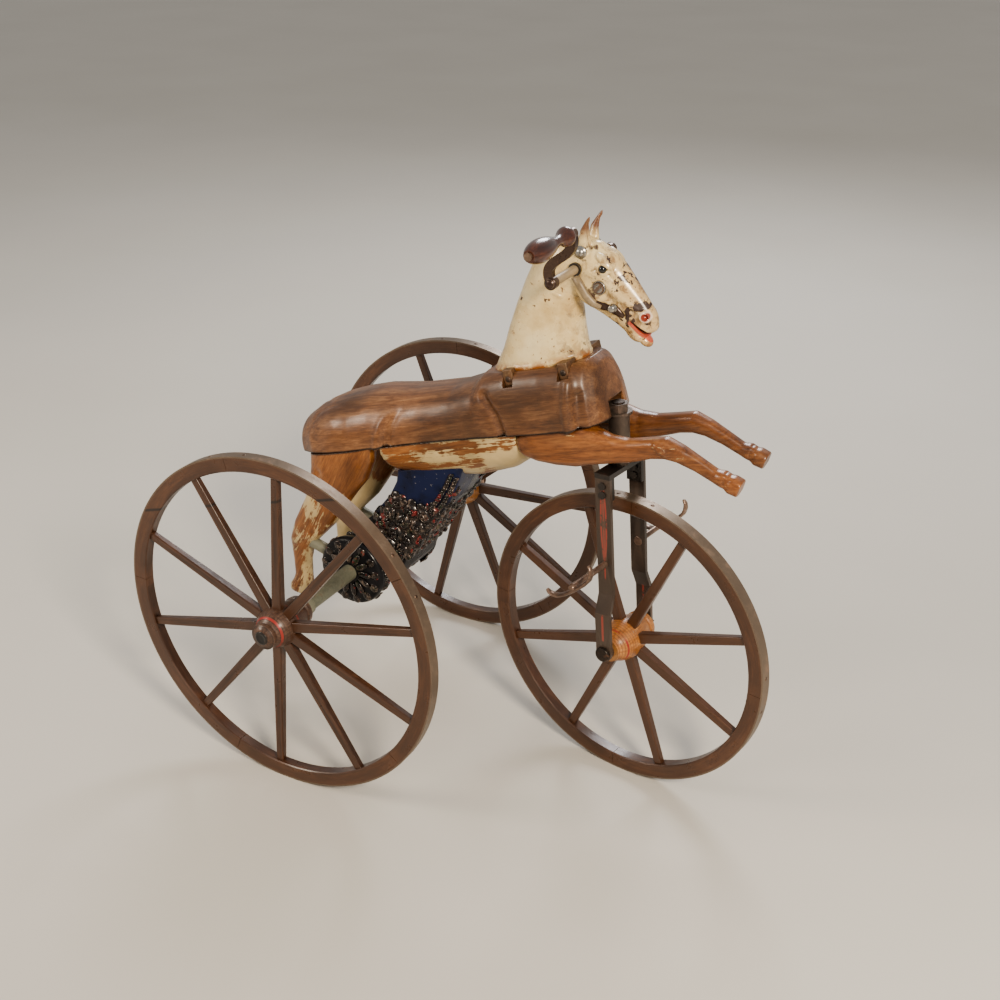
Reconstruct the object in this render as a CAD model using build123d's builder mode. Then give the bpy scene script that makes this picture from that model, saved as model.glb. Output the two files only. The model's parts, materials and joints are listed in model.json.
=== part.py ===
from build123d import *

import os
from math import cos, pi, radians, sin, sqrt

# Children's hand-cranked tricycle in the form of a galloping horse.
# X points forward, Y to the horse's left and Z up, in millimetres.
# The origin is on the floor, under the middle of the whole tricycle.

# Wheels
rear_wheel_dia = 560.0
front_wheel_dia = 488.0
track = 562.0
wheelbase = 452.0
rear_rim_width = 18.0
front_rim_width = 20.0
tyre_thickness = 2.5
felloe_depth = 22.0
felloe_gap = 0.6
felloe_chamfer = 1.5
rear_spoke_count = 10
front_spoke_count = 8
rear_felloe_count = 5
front_felloe_count = 4
right_spoke_angle = 14.3
left_spoke_angle = 3.3
front_spoke_angle = 15.6
right_joint_angle = 33.0
left_joint_angle = 20.0
front_joint_angle = 84.0
spoke_width = 17.0
spoke_depth = 14.0
spoke_taper = 0.5
spoke_round = 2.0
tenon_length = 12.0

# Hubs, measured along the axle from the middle of the rim
rear_hub_outer = 36.0
rear_hub_inner = 54.0
front_hub_half = 48.0
hub_belly_radius = 33.0
hub_neck_radius = 23.0
hub_ring_radius = 19.0
hub_mortise_radius = 28.0

# Axles and running fits
axle_radius = 8.0
front_axle_radius = 7.0
hub_box_wall = 3.0
drive_pin_radius = 2.5
drive_pin_half = 20.0
drive_pin_inset = 15.0
running_clearance = 0.05
side_clearance = 0.5
nut_thickness = 7.0
nut_radius = 18.0
axle_tube_radius = 13.5
axle_tube_wall = 3.5
axle_tube_collar_length = 18.0
axle_tube_collar_radius = 16.5

# Steering
rest_steer = -8.5
rake = 4.0
fork_inner_half = 42.0
fork_strap = 6.0
fork_width = 26.0
fork_joggle = 12.0
joggle_top = 96.0
joggle_bottom = 66.0
crown_height = 294.0
crown_thickness = 8.0
crown_lug_drop = 34.0
rivet_radius = 3.5
stem_radius = 9.0
stem_collar_radius = 14.0
stem_collar_height = 4.0
head_tube_radius = 15.5
head_tube_length = 74.0
stem_nut_height = 12.0
stem_nut_radius = 15.0
stem_washer_radius = 20.0
stem_washer_thickness = 4.0
tongue_width = 30.0
tongue_thickness = 10.0
tongue_rear = 446.0
tongue_reach = 124.0

# Foot rests
foot_rest_height = 148.0
foot_rod_radius = 5.0
foot_rod_reach = 88.0
foot_bar_half = 40.0
foot_bar_width = 16.0
foot_bar_thickness = 6.0
foot_bar_tip = 16.0
foot_bar_tilt = 36.0

# Body, measured along its rising axis (s) and above it (n)
body_rise = 16.4
seam_height = 472.0
seam_gap = 0.3
seat_height = 90.0
neck_seat_rear = 395.0
neck_seat_front = 561.0
chain_slot_width = 20.0
# station, half width, height, squareness
trunk_sections = [
    (14, 34, 34, 2.2),
    (34, 60, 50, 2.3),
    (66, 77, 64, 2.5),
    (115, 84, 74, 2.6),
    (180, 79, 78, 2.6),
    (250, 71, 71, 2.6),
    (330, 68, 71, 2.8),
    (375, 69, 79, 3.4),
    (395, 71, 93, 4.2),
    (480, 74, 94, 4.4),
    (545, 71, 94, 4.0),
    (568, 60, 90, 3.0),
    (580, 44, 70, 2.4),
]
# station, half width, depth, squareness
belly_sections = [
    (196, 76, 52, 2.6),
    (260, 70, 70, 2.4),
    (340, 67, 77, 2.4),
    (400, 67, 70, 2.4),
    (440, 68, 50, 2.6),
]
hind_leg_inner = 42.0
hind_leg_outer = 84.0
shoulder_inner = 20.0
shoulder_outer = 71.0
foreleg_inner = 36.0
foreleg_outer = 68.0

# Neck and head: x, z, half length, half width and tilt of each section
neck_wall = 5.0
neck_base_width = 48.0
neck_sections = [
    (309, 729, 58, 42, 6),
    (319, 783, 45, 33, -18),
    (332, 814, 43, 27, -48),
]
poll_turn = 83.0
poll_pivot = (361.5, 781.3)
head_sections = [
    (388, 816, 44, 28, 53),
    (422, 790, 38, 25, 53),
    (446, 768, 32, 20, 53),
    (463, 753, 21, 15, 53),
]
mouth_corner = (424, 769)
mouth_lips = [(466, 742), (456, 733)]
ear_base = (378, 848)
ear_tip = (379, 901)
ear_spread = 15.0
ear_radius = 9.0
lug_width = 15.0
lug_drop = 16.0
lug_thickness = 9.0
# station and outer face of each neck lug
neck_lugs = [(451, 46), (541, 38)]
casting_gap = 0.3
crank_x = 364.0
crank_z = 828.0
eye_position = (404, 833)
eye_half_width = 24.0
eye_radius = 6.0
bit_position = (421, 780)
bit_half_length = 26.0
bit_radius = 5.0
# x, z and half length of each head bolt
head_bolts_at = [(370, 852, 24.0), (401, 807, 32.0)]
head_bolt_radius = 4.0
head_bolt_dome = 8.0
head_bolt_cap = 3.5
screw_radius = 2.5
screw_head_radius = 5.0
screw_head_height = 2.5
screw_length = 14.0
tongue_screw_stations = (470, 530)

# Cranks
crank_shaft_radius = 6.5
crank_bush_wall = 3.0
crank_bush_inner = 12.0
crank_bush_outer = 31.0
right_arm_plane = 98.0
left_arm_plane = 84.0
arm_thickness = 10.0
arm_width = 13.0
arm_boss_radius = 9.0
arm_bow = 16.0
crank_throw = 76.0
crank_angle = 69.0
grip_length = 112.0
grip_ball_radius = 13.5
grip_neck_radius = 8.0
grip_pear_radius = 15.5
spindle_radius = 3.5
spindle_head_radius = 5.5
spindle_head_height = 3.0

# Chain drive
chain_pitch = 10.0
crank_teeth = 8
axle_teeth = 12
rung_radius = 1.6
rung_length = 10.0
link_bar = 1.8
link_height = 4.2
link_gap = 0.35
tooth_width = 4.4
tooth_height = 2.0
sprocket_thickness = 5.0
chain_room = 4.0

# Chain case: x, z along its front and rear edges, from the belly down to the drum
case_front = [(190, 505), (168, 436), (140, 388), (98, 330), (58, 295)]
case_rear = [(-45, 315), (-14, 338), (22, 372), (42, 397), (59, 419), (72, 445), (84, 475)]
case_half_thickness = 54.0
case_drum_half = 92.0
case_drum_radius = 60.0
case_wall = 4.0
hock_rod_radius = 9.5
hock_rod_plane = 67.0
hock_rod_ends = [(-92, 302), (-50, 290)]

# Leg outlines: x and z of each corner
hind_leg_outline = [
    (-92, 480), (42, 520), (35, 476), (6, 438), (-19, 402), (-41, 369), (-79, 321),
    (-93, 295), (-100, 240), (-103, 209), (-120, 200), (-142, 198), (-131, 226),
    (-135, 284), (-130, 313), (-102, 358), (-85, 395), (-80, 428),
]
shoulder_outline = [
    (301, 595), (405, 625), (430, 603), (426, 554), (386, 543), (338, 536), (304, 542),
    (298, 560),
]
foreleg_outline = [
    (386, 600), (425, 604), (456, 601), (493, 609), (528, 617), (561, 605), (594, 590),
    (608, 584), (628, 583), (641, 572), (637, 560), (623, 556), (601, 567), (577, 577),
    (547, 587), (520, 588), (495, 581), (465, 569), (426, 554), (386, 543),
]

# Derived sizes
rear_radius = rear_wheel_dia / 2
front_radius = front_wheel_dia / 2
steer_nx = abs(cos(radians(rake)) * sin(radians(rest_steer)))
steer_nz = abs(sin(radians(rake)) * sin(radians(rest_steer)))
front_reach = front_radius * sqrt(1 - steer_nx**2) + front_rim_width / 2 * steer_nx
front_axle_z = front_radius * sqrt(1 - steer_nz**2) + front_rim_width / 2 * steer_nz
rear_x = -(wheelbase + front_reach - rear_radius) / 2
half_track = track / 2

# Working frames: local x forward, local y to the left, local z up
base = Plane(origin=(rear_x, 0, 0))
body_cos = cos(radians(body_rise))
body_sin = sin(radians(body_rise))
body = Plane(
    origin=(rear_x, 0, 0), x_dir=(body_cos, 0, body_sin), z_dir=(-body_sin, 0, body_cos)
)
rake_cos = cos(radians(rake))
rake_sin = sin(radians(rake))
straight_fork = Plane(
    origin=(rear_x + wheelbase, 0, front_axle_z),
    x_dir=(rake_cos, 0, rake_sin),
    z_dir=(-rake_sin, 0, rake_cos),
)
fork = Plane(
    origin=straight_fork.origin,
    x_dir=straight_fork.x_dir * cos(radians(rest_steer))
    + straight_fork.y_dir * sin(radians(rest_steer)),
    z_dir=straight_fork.z_dir,
)


def side(frame, y=0.0):
    """Upright fore-and-aft plane of a frame, looking at it from the right."""
    return Plane(
        origin=frame.origin + frame.y_dir * y, x_dir=frame.x_dir, z_dir=-frame.y_dir
    )


def across(frame, x=0.0):
    """Upright crosswise plane of a frame: local x to the left, local y up."""
    return Plane(
        origin=frame.origin + frame.x_dir * x, x_dir=frame.y_dir, z_dir=frame.x_dir
    )


def level(frame, z=0.0):
    """Plane square to a frame's upright direction, at height z."""
    return Plane(
        origin=frame.origin + frame.z_dir * z, x_dir=frame.x_dir, z_dir=frame.z_dir
    )


def save(part, name):
    """Label one finished piece and write it."""
    part.label = name
    export_step(part, "parts/" + name + ".step")


def save_pair(right, name, middle=Plane.XZ):
    """Write a right-hand piece and its mirror image on the left."""
    save(right, name + "_right")
    save(right.mirror(middle), name + "_left")


os.makedirs("parts", exist_ok=True)


# ---------------------------------------------------------------- wheels
def ring_of(part, plane, count, first_angle):
    """Copies of a piece, evenly turned about a plane's normal."""
    turns = [first_angle + 360.0 * k / count for k in range(count)]
    axle = Axis(plane.origin, plane.z_dir)
    return Compound(children=[part.rotate(axle, turn) for turn in turns])


def make_spokes(plane, radius, count, first_angle):
    """Tapered square spokes, tenoned into the hub and the felloes."""
    length = radius - tyre_thickness - felloe_depth + tenon_length - hub_mortise_radius
    foot = Plane(
        origin=plane.origin + plane.x_dir * hub_mortise_radius,
        x_dir=plane.y_dir,
        z_dir=plane.x_dir,
    )
    with BuildPart() as spoke:
        with BuildSketch(foot):
            Rectangle(spoke_width, spoke_depth)
        extrude(amount=length, taper=spoke_taper)
        fillet(spoke.edges().sort_by(SortBy.LENGTH)[-4:], radius=spoke_round)
    return ring_of(spoke.part, plane, count, first_angle)


def make_felloes(plane, radius, width, count, first_angle, spokes):
    """Curved rim pieces with a fine gap at each joint and a mortise for each spoke."""
    outer = radius - tyre_thickness
    with BuildPart() as felloes:
        with BuildSketch(plane.offset(-width / 2)):
            Circle(outer)
            Circle(outer - felloe_depth, mode=Mode.SUBTRACT)
        extrude(amount=width)
        inner_edges = felloes.edges().filter_by(GeomType.CIRCLE).group_by(SortBy.RADIUS)[0]
        chamfer(inner_edges, length=felloe_chamfer)
        with BuildSketch(plane.offset(-width / 2)):
            with PolarLocations(outer, count, start_angle=first_angle):
                Rectangle(4 * felloe_depth, felloe_gap)
        extrude(amount=width, mode=Mode.SUBTRACT)
        add(spokes, mode=Mode.SUBTRACT)
    return felloes.part


def make_tyre(plane, radius, width):
    """Flat iron hoop shrunk on to the felloes."""
    with BuildPart() as tyre:
        with BuildSketch(plane.offset(-width / 2)):
            Circle(radius)
            Circle(radius - tyre_thickness, mode=Mode.SUBTRACT)
        extrude(amount=width)
    return tyre.part


def make_hub(plane, outer, inner, bore, cutters):
    """Turned barrel hub, full at the spokes, with a ring at its outer end."""
    profile = Plane(origin=plane.origin, x_dir=plane.z_dir, z_dir=-plane.y_dir)
    with BuildPart() as hub:
        with BuildSketch(profile):
            with BuildLine():
                Polyline(
                    (outer, bore),
                    (outer, hub_ring_radius),
                    (outer - 6, hub_ring_radius),
                    (outer - 8, hub_ring_radius + 2),
                )
                Spline(
                    (outer - 8, hub_ring_radius + 2),
                    (outer * 0.5, hub_belly_radius - 4),
                    (0, hub_belly_radius),
                    (-inner * 0.5, hub_belly_radius - 5),
                    (10 - inner, hub_neck_radius),
                )
                Polyline(
                    (10 - inner, hub_neck_radius),
                    (8 - inner, hub_neck_radius + 2),
                    (-inner, hub_neck_radius + 1),
                    (-inner, bore),
                    (outer, bore),
                )
            make_face()
        revolve(axis=Axis(plane.origin, plane.z_dir))
        for cutter in cutters:
            add(cutter, mode=Mode.SUBTRACT)
    return hub.part


def make_hub_box(plane, outer, inner, shaft_radius):
    """Iron tube that lines a free-running hub."""
    with BuildPart() as box:
        with BuildSketch(plane.offset(-inner)):
            Circle(shaft_radius + running_clearance + hub_box_wall)
            Circle(shaft_radius + running_clearance, mode=Mode.SUBTRACT)
        extrude(amount=outer + inner)
    return box.part


right_plane = Plane(origin=(rear_x, -half_track, rear_radius), x_dir=(1, 0, 0), z_dir=(0, -1, 0))
left_plane = Plane(origin=(rear_x, half_track, rear_radius), x_dir=(1, 0, 0), z_dir=(0, 1, 0))
front_plane = side(fork)
rear_bore = axle_radius + running_clearance
lined_bore = rear_bore + hub_box_wall
front_bore = front_axle_radius + running_clearance + hub_box_wall

# The pin that locks the right wheel to the axle.
pin_foot = Plane(
    origin=(rear_x, -half_track - rear_hub_outer + drive_pin_inset, rear_radius - drive_pin_half)
)
with BuildPart() as pin_bore:
    with BuildSketch(pin_foot):
        Circle(drive_pin_radius + running_clearance)
    extrude(amount=2 * drive_pin_half)
with BuildPart() as drive_pin:
    with BuildSketch(pin_foot):
        Circle(drive_pin_radius)
    extrude(amount=2 * drive_pin_half)
save(drive_pin.part, "drive_pin")

wheels = [
    ("right_wheel", right_plane, rear_radius, rear_rim_width, rear_spoke_count,
     rear_felloe_count, right_spoke_angle, right_joint_angle, rear_hub_outer,
     rear_hub_inner, rear_bore, [pin_bore.part]),
    ("left_wheel", left_plane, rear_radius, rear_rim_width, rear_spoke_count,
     rear_felloe_count, -left_spoke_angle, -left_joint_angle, rear_hub_outer,
     rear_hub_inner, lined_bore, []),
    ("front_wheel", front_plane, front_radius, front_rim_width, front_spoke_count,
     front_felloe_count, front_spoke_angle, front_joint_angle, front_hub_half,
     front_hub_half, front_bore, []),
]
for name, plane, radius, width, spoke_count, felloe_count, spoke_angle, joint_angle, \
        outer, inner, bore, bores in wheels:
    spokes = make_spokes(plane, radius, spoke_count, spoke_angle)
    save(spokes, name + "_spokes")
    save(make_felloes(plane, radius, width, felloe_count, joint_angle, spokes), name + "_felloes")
    save(make_tyre(plane, radius, width), name + "_tyre")
    save(make_hub(plane, outer, inner, bore, [spokes] + bores), name + "_hub")
save(make_hub_box(left_plane, rear_hub_outer, rear_hub_inner, axle_radius), "left_wheel_hub_box")
save(make_hub_box(front_plane, front_hub_half, front_hub_half, front_axle_radius),
     "front_wheel_hub_box")


# ---------------------------------------------------------------- rear axle
axle_end = half_track + rear_hub_outer + side_clearance + nut_thickness
hub_inner_face = half_track - rear_hub_inner
tube_outer_end = hub_inner_face - side_clearance

with BuildPart() as rear_axle:
    with BuildSketch(right_plane.offset(-half_track - axle_end)):
        Circle(axle_radius)
    extrude(amount=2 * axle_end)
    add(pin_bore.part, mode=Mode.SUBTRACT)
save(rear_axle.part, "rear_axle")

with BuildPart() as axle_nuts:
    for plane in (right_plane, left_plane):
        with BuildSketch(plane.offset(rear_hub_outer + side_clearance)):
            Circle(nut_radius)
            Circle(rear_bore, mode=Mode.SUBTRACT)
        extrude(amount=nut_thickness)
    outer_rims = axle_nuts.edges().filter_by(GeomType.CIRCLE).group_by(SortBy.RADIUS)[-1]
    chamfer(outer_rims, length=1.5)
save(axle_nuts.part, "axle_nuts")

with BuildPart() as axle_tube:
    with BuildSketch(right_plane.offset(case_drum_half - half_track)):
        Circle(axle_tube_radius)
    extrude(amount=tube_outer_end - case_drum_half)
    with BuildSketch(right_plane.offset(tube_outer_end - axle_tube_collar_length - half_track)):
        Circle(axle_tube_collar_radius)
    extrude(amount=axle_tube_collar_length)
    with BuildSketch(right_plane.offset(case_drum_half - half_track)):
        Circle(axle_tube_radius - axle_tube_wall)
    extrude(amount=tube_outer_end - case_drum_half, mode=Mode.SUBTRACT)
save_pair(axle_tube.part, "axle_tube")

# Brass bushes carry the axle at both ends of each tube.
bush_length = 16.0
bush_spans = [case_drum_half, tube_outer_end - bush_length]
with BuildPart() as axle_bushes:
    for plane in (right_plane, left_plane):
        for start in bush_spans:
            with BuildSketch(plane.offset(start - half_track)):
                Circle(axle_tube_radius - axle_tube_wall)
                Circle(rear_bore, mode=Mode.SUBTRACT)
            extrude(amount=bush_length)
save(axle_bushes.part, "axle_bushes")

# ---------------------------------------------------------------- front fork
leg_outer_low = fork_inner_half + fork_joggle
leg_top = crown_height - crown_thickness
rivet_spots = [(0, leg_top - 11), (0, leg_top - 25)]
rivet_head_radius = 6.0
rivet_head_height = 2.5

with BuildPart() as fork_leg:
    with BuildSketch(across(fork, -fork_width / 2)):
        with BuildLine():
            inner_line = Polyline(
                (-fork_inner_half, leg_top),
                (-fork_inner_half, joggle_top),
                (-leg_outer_low, joggle_bottom),
                (-leg_outer_low, -fork_width / 2),
            )
            offset(inner_line, amount=fork_strap, side=Side.RIGHT)
        make_face()
    extrude(amount=fork_width)
    foot_corners = fork_leg.edges().filter_by(Axis((0, 0, 0), fork.y_dir)).sort_by(Axis.Z)[:2]
    fillet(foot_corners, radius=fork_width / 2 - 1)
    with BuildSketch(side(fork)):
        Circle(front_axle_radius + running_clearance)
    extrude(amount=2 * leg_outer_low, mode=Mode.SUBTRACT)
    with BuildSketch(side(fork)):
        with Locations(*rivet_spots):
            Circle(rivet_radius + running_clearance)
    extrude(amount=2 * leg_outer_low, mode=Mode.SUBTRACT)
    with BuildSketch(side(fork)):
        with Locations((0, foot_rest_height)):
            Circle(foot_rod_radius + running_clearance)
    extrude(amount=2 * leg_outer_low, mode=Mode.SUBTRACT)
save_pair(fork_leg.part, "fork_leg", side(fork))

with BuildPart() as fork_crown:
    with BuildSketch(across(fork, -fork_width / 2)):
        with BuildLine():
            Polyline(
                (-fork_inner_half - fork_strap, crown_height),
                (-fork_inner_half - fork_strap, leg_top),
                (-fork_inner_half, leg_top),
                (-fork_inner_half, leg_top - crown_lug_drop),
                (fork_strap - fork_inner_half, leg_top - crown_lug_drop),
                (fork_strap - fork_inner_half, leg_top),
                (fork_inner_half - fork_strap, leg_top),
                (fork_inner_half - fork_strap, leg_top - crown_lug_drop),
                (fork_inner_half, leg_top - crown_lug_drop),
                (fork_inner_half, leg_top),
                (fork_inner_half + fork_strap, leg_top),
                (fork_inner_half + fork_strap, crown_height),
                close=True,
            )
        make_face()
    extrude(amount=fork_width)
    with BuildSketch(level(fork, leg_top)):
        Circle(stem_radius + running_clearance)
    extrude(amount=crown_thickness, mode=Mode.SUBTRACT)
    with BuildSketch(side(fork)):
        with Locations(*rivet_spots):
            Circle(rivet_radius + running_clearance)
    extrude(amount=fork_inner_half, both=True, mode=Mode.SUBTRACT)
save(fork_crown.part, "fork_crown")

with BuildPart() as fork_rivets:
    for direction in (1, -1):
        inner = fork_inner_half - fork_strap
        outer = fork_inner_half + fork_strap
        for start, length, radius in (
            (inner - rivet_head_height, rivet_head_height, rivet_head_radius),
            (inner, outer - inner, rivet_radius),
            (outer, rivet_head_height, rivet_head_radius),
        ):
            with BuildSketch(side(fork, -direction * start)):
                with Locations(*rivet_spots):
                    Circle(radius)
            extrude(amount=direction * length)
save(fork_rivets.part, "fork_rivets")

tube_bottom = crown_height + stem_collar_height + side_clearance
tube_top = tube_bottom + head_tube_length
washer_bottom = tube_top + side_clearance
nut_bottom = washer_bottom + stem_washer_thickness
with BuildPart() as steering_stem:
    with BuildSketch(level(fork, leg_top)):
        Circle(stem_radius)
    extrude(amount=nut_bottom + stem_nut_height + 2 - leg_top)
    with BuildSketch(level(fork, crown_height)):
        Circle(stem_collar_radius)
    extrude(amount=stem_collar_height)
save(steering_stem.part, "steering_stem")

with BuildPart() as stem_washer:
    with BuildSketch(level(fork, washer_bottom)):
        Circle(stem_washer_radius)
        Circle(stem_radius + running_clearance, mode=Mode.SUBTRACT)
    extrude(amount=stem_washer_thickness)
save(stem_washer.part, "stem_washer")

with BuildPart() as stem_nut:
    with BuildSketch(level(fork, nut_bottom)):
        RegularPolygon(stem_nut_radius, 6)
        Circle(stem_radius + running_clearance, mode=Mode.SUBTRACT)
    extrude(amount=stem_nut_height)
save(stem_nut.part, "stem_nut")

# Front axle: a headed bolt through both legs, with a nut on the left.
bolt_head_height = 6.0
bolt_head_radius = 12.0
leg_face = leg_outer_low + fork_strap
with BuildPart() as front_axle:
    with BuildSketch(side(fork, leg_face + bolt_head_height + 3)):
        Circle(front_axle_radius)
    extrude(amount=2 * leg_face + bolt_head_height + 3)
    with BuildSketch(side(fork, -leg_face)):
        Circle(bolt_head_radius)
    extrude(amount=bolt_head_height)
    fillet(front_axle.edges().filter_by(GeomType.CIRCLE).group_by(SortBy.RADIUS)[-1][-1:], radius=3)
save(front_axle.part, "front_axle")

with BuildPart() as front_axle_nuts:
    with BuildSketch(side(fork, leg_face)):
        RegularPolygon(bolt_head_radius, 4)
        Circle(front_axle_radius + running_clearance, mode=Mode.SUBTRACT)
    extrude(amount=-bolt_head_height)
    for direction in (1, -1):
        with BuildSketch(side(fork, direction * (front_hub_half + side_clearance))):
            Circle(bolt_head_radius)
            Circle(front_axle_radius + running_clearance, mode=Mode.SUBTRACT)
        extrude(amount=-direction * (leg_outer_low - front_hub_half - side_clearance))
save(front_axle_nuts.part, "front_axle_nuts")

# Foot rests: a rod riveted through each leg, with an upturned bar at its end.
rest_level = Plane(
    origin=fork.origin + fork.z_dir * foot_rest_height,
    x_dir=fork.x_dir,
    z_dir=fork.z_dir,
)
bar_cos = cos(radians(foot_bar_tilt))
bar_sin = sin(radians(foot_bar_tilt))
rest_tip_y = fork_inner_half + foot_rod_reach
bar_plane = Plane(
    origin=rest_level.origin - rest_level.y_dir * (rest_tip_y - foot_bar_width / 2),
    x_dir=rest_level.x_dir * bar_cos + rest_level.z_dir * bar_sin,
    z_dir=-rest_level.y_dir,
)
with BuildPart() as foot_rest:
    with BuildSketch(side(rest_level, -fork_inner_half)):
        Circle(foot_rod_radius)
    extrude(amount=foot_rod_reach)
    with BuildSketch(bar_plane):
        with BuildLine():
            bar_line = Polyline(
                (-foot_bar_half, foot_bar_tip),
                (-foot_bar_half, 0),
                (foot_bar_half, 0),
                (foot_bar_half, foot_bar_tip),
            )
            offset(bar_line, amount=foot_bar_thickness, side=Side.RIGHT)
        make_face()
    extrude(amount=foot_bar_width)
save_pair(foot_rest.part, "foot_rest", side(fork))

# ---------------------------------------------------------------- trunk and belly
crank_pitch_radius = chain_pitch / 2 / sin(pi / crank_teeth)
axle_pitch_radius = chain_pitch / 2 / sin(pi / axle_teeth)
chain_rise = crank_z - rear_radius
chain_span = sqrt(crank_x**2 + chain_rise**2)
drive = Plane(
    origin=(rear_x, 0, rear_radius),
    x_dir=(crank_x / chain_span, 0, chain_rise / chain_span),
    z_dir=(0, -1, 0),
)


def arch(half_width, height, squareness, count=17):
    """Points over a rounded arch, from its right foot to its left."""
    points = []
    for k in range(count):
        turn = pi * k / (count - 1)
        reach = abs(cos(turn)) ** (2 / squareness)
        rise = abs(sin(turn)) ** (2 / squareness)
        points.append((-half_width * reach if k <= count // 2 else half_width * reach, height * rise))
    return points


def arch_loft(sections, direction):
    """Body of arched sections standing up or hanging down from the seam."""
    with BuildPart() as solid:
        for station, half_width, height, squareness in sections:
            plane = across(body, station)
            start = seam_height + direction * seam_gap / 2
            points = [(y, start + direction * z) for y, z in arch(half_width, height, squareness)]
            with BuildSketch(plane):
                with BuildLine():
                    Spline(*points)
                    Line(points[-1], points[0])
                make_face()
        loft()
    return solid.part


def chain_passage():
    """Space kept free for the chain, from the rear axle to the crank."""
    low = axle_pitch_radius + chain_room
    high = crank_pitch_radius + chain_room
    with BuildPart() as passage:
        with BuildSketch(drive):
            Polygon((0, -low), (chain_span, -high), (chain_span, high), (0, low), align=None)
            with Locations((chain_span, 0)):
                Circle(high + 1)
        extrude(amount=chain_slot_width / 2, both=True)
    return passage.part


def lug_boxes(room, outward=0.0):
    """Blocks for the neck's screw lugs on the right, grown by a working room."""
    with BuildPart() as lugs:
        for station, face in neck_lugs:
            with BuildSketch(side(body, -face - outward)):
                with Locations((station, seam_height + seat_height - lug_drop / 2 + 3)):
                    Rectangle(lug_width + 2 * room, lug_drop + 6 + 2 * room)
            extrude(amount=-lug_thickness - room - outward)
    return lugs.part


def lug_screws(radius, length, head):
    """Screws through the right-hand lugs, reaching inward from the lug faces."""
    with BuildPart() as screws:
        for station, face in neck_lugs:
            centre = (station, seam_height + seat_height - lug_drop / 2)
            with BuildSketch(side(body, -face)):
                with Locations(centre):
                    Circle(radius)
            extrude(amount=-length)
            if head > 0:
                with BuildSketch(side(body, -face)):
                    with Locations(centre):
                        Circle(screw_head_radius)
                extrude(amount=head)
    return screws.part


def tongue_screws(radius, head):
    """Screws up through the steering tongue into the trunk."""
    with BuildPart() as screws:
        under = level(body, seam_height - tongue_thickness - seam_gap)
        with BuildSketch(under):
            with Locations(*[(station, 0) for station in tongue_screw_stations]):
                Circle(radius)
        extrude(amount=tongue_thickness + screw_length)
        if head > 0:
            with BuildSketch(under):
                with Locations(*[(station, 0) for station in tongue_screw_stations]):
                    Circle(screw_head_radius)
            extrude(amount=-head)
    return screws.part


passage = chain_passage()
notch = lug_boxes(seam_gap, shoulder_outer)
shank = screw_radius + running_clearance
lug_bores = lug_screws(shank, lug_thickness + screw_length, 0)
tongue_bores = tongue_screws(shank, 0)
steering_room = stem_washer_radius + 3
with BuildPart() as trunk:
    add(arch_loft(trunk_sections, 1))
    with BuildSketch(level(body, seam_height + seat_height)):
        Rectangle(4 * track, 2 * track)
    extrude(amount=seat_height, mode=Mode.SUBTRACT)
    with BuildSketch(level(straight_fork, tube_bottom)):
        Circle(steering_room)
    extrude(amount=head_tube_length + stem_washer_thickness + stem_nut_height + 6, mode=Mode.SUBTRACT)
    for cutter in (passage, notch, notch.mirror(Plane.XZ), lug_bores, lug_bores.mirror(Plane.XZ),
                   tongue_bores):
        add(cutter, mode=Mode.SUBTRACT)
save(trunk.part, "trunk")

with BuildPart() as belly:
    add(arch_loft(belly_sections, -1))
    add(passage, mode=Mode.SUBTRACT)
save(belly.part, "belly")
save(tongue_screws(screw_radius, screw_head_height), "wood_screws")


# ---------------------------------------------------------------- legs
def slab(outline, inner, outer):
    """Flat block on the right side, cut square to the outline."""
    with BuildPart() as block:
        with BuildSketch(side(base, -inner)):
            Polygon(*outline, align=None)
        extrude(amount=outer - inner)
    return block.part


with BuildPart() as above_seam:
    with BuildSketch(level(body, seam_height - seam_gap)):
        Rectangle(4 * track, 2 * track)
    extrude(amount=4 * seat_height)

with BuildPart() as hind_leg:
    add(slab(hind_leg_outline, hind_leg_inner, hind_leg_outer))
    add(above_seam.part, mode=Mode.SUBTRACT)
save_pair(hind_leg.part, "hind_leg")

with BuildPart() as foreleg:
    add(slab(shoulder_outline, shoulder_inner, shoulder_outer))
    add(slab(foreleg_outline, foreleg_inner, foreleg_outer))
    add(above_seam.part, mode=Mode.SUBTRACT)
save_pair(foreleg.part, "foreleg")

with BuildPart() as hock_rod:
    (rod_x, rod_z), (end_x, end_z) = hock_rod_ends
    rod_length = sqrt((end_x - rod_x) ** 2 + (end_z - rod_z) ** 2)
    rod_plane = Plane(
        origin=(rear_x + rod_x, -hock_rod_plane, rod_z), z_dir=(end_x - rod_x, 0, end_z - rod_z)
    )
    with BuildSketch(rod_plane):
        Circle(hock_rod_radius)
    extrude(amount=rod_length)
    with BuildSketch(right_plane.offset(case_drum_half - half_track)):
        Circle(case_drum_radius)
    extrude(amount=-case_drum_half, mode=Mode.SUBTRACT)
    add(hind_leg.part, mode=Mode.SUBTRACT)
save(Compound(children=[hock_rod.part, hock_rod.part.mirror(Plane.XZ)]), "hock_rods")

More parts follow.
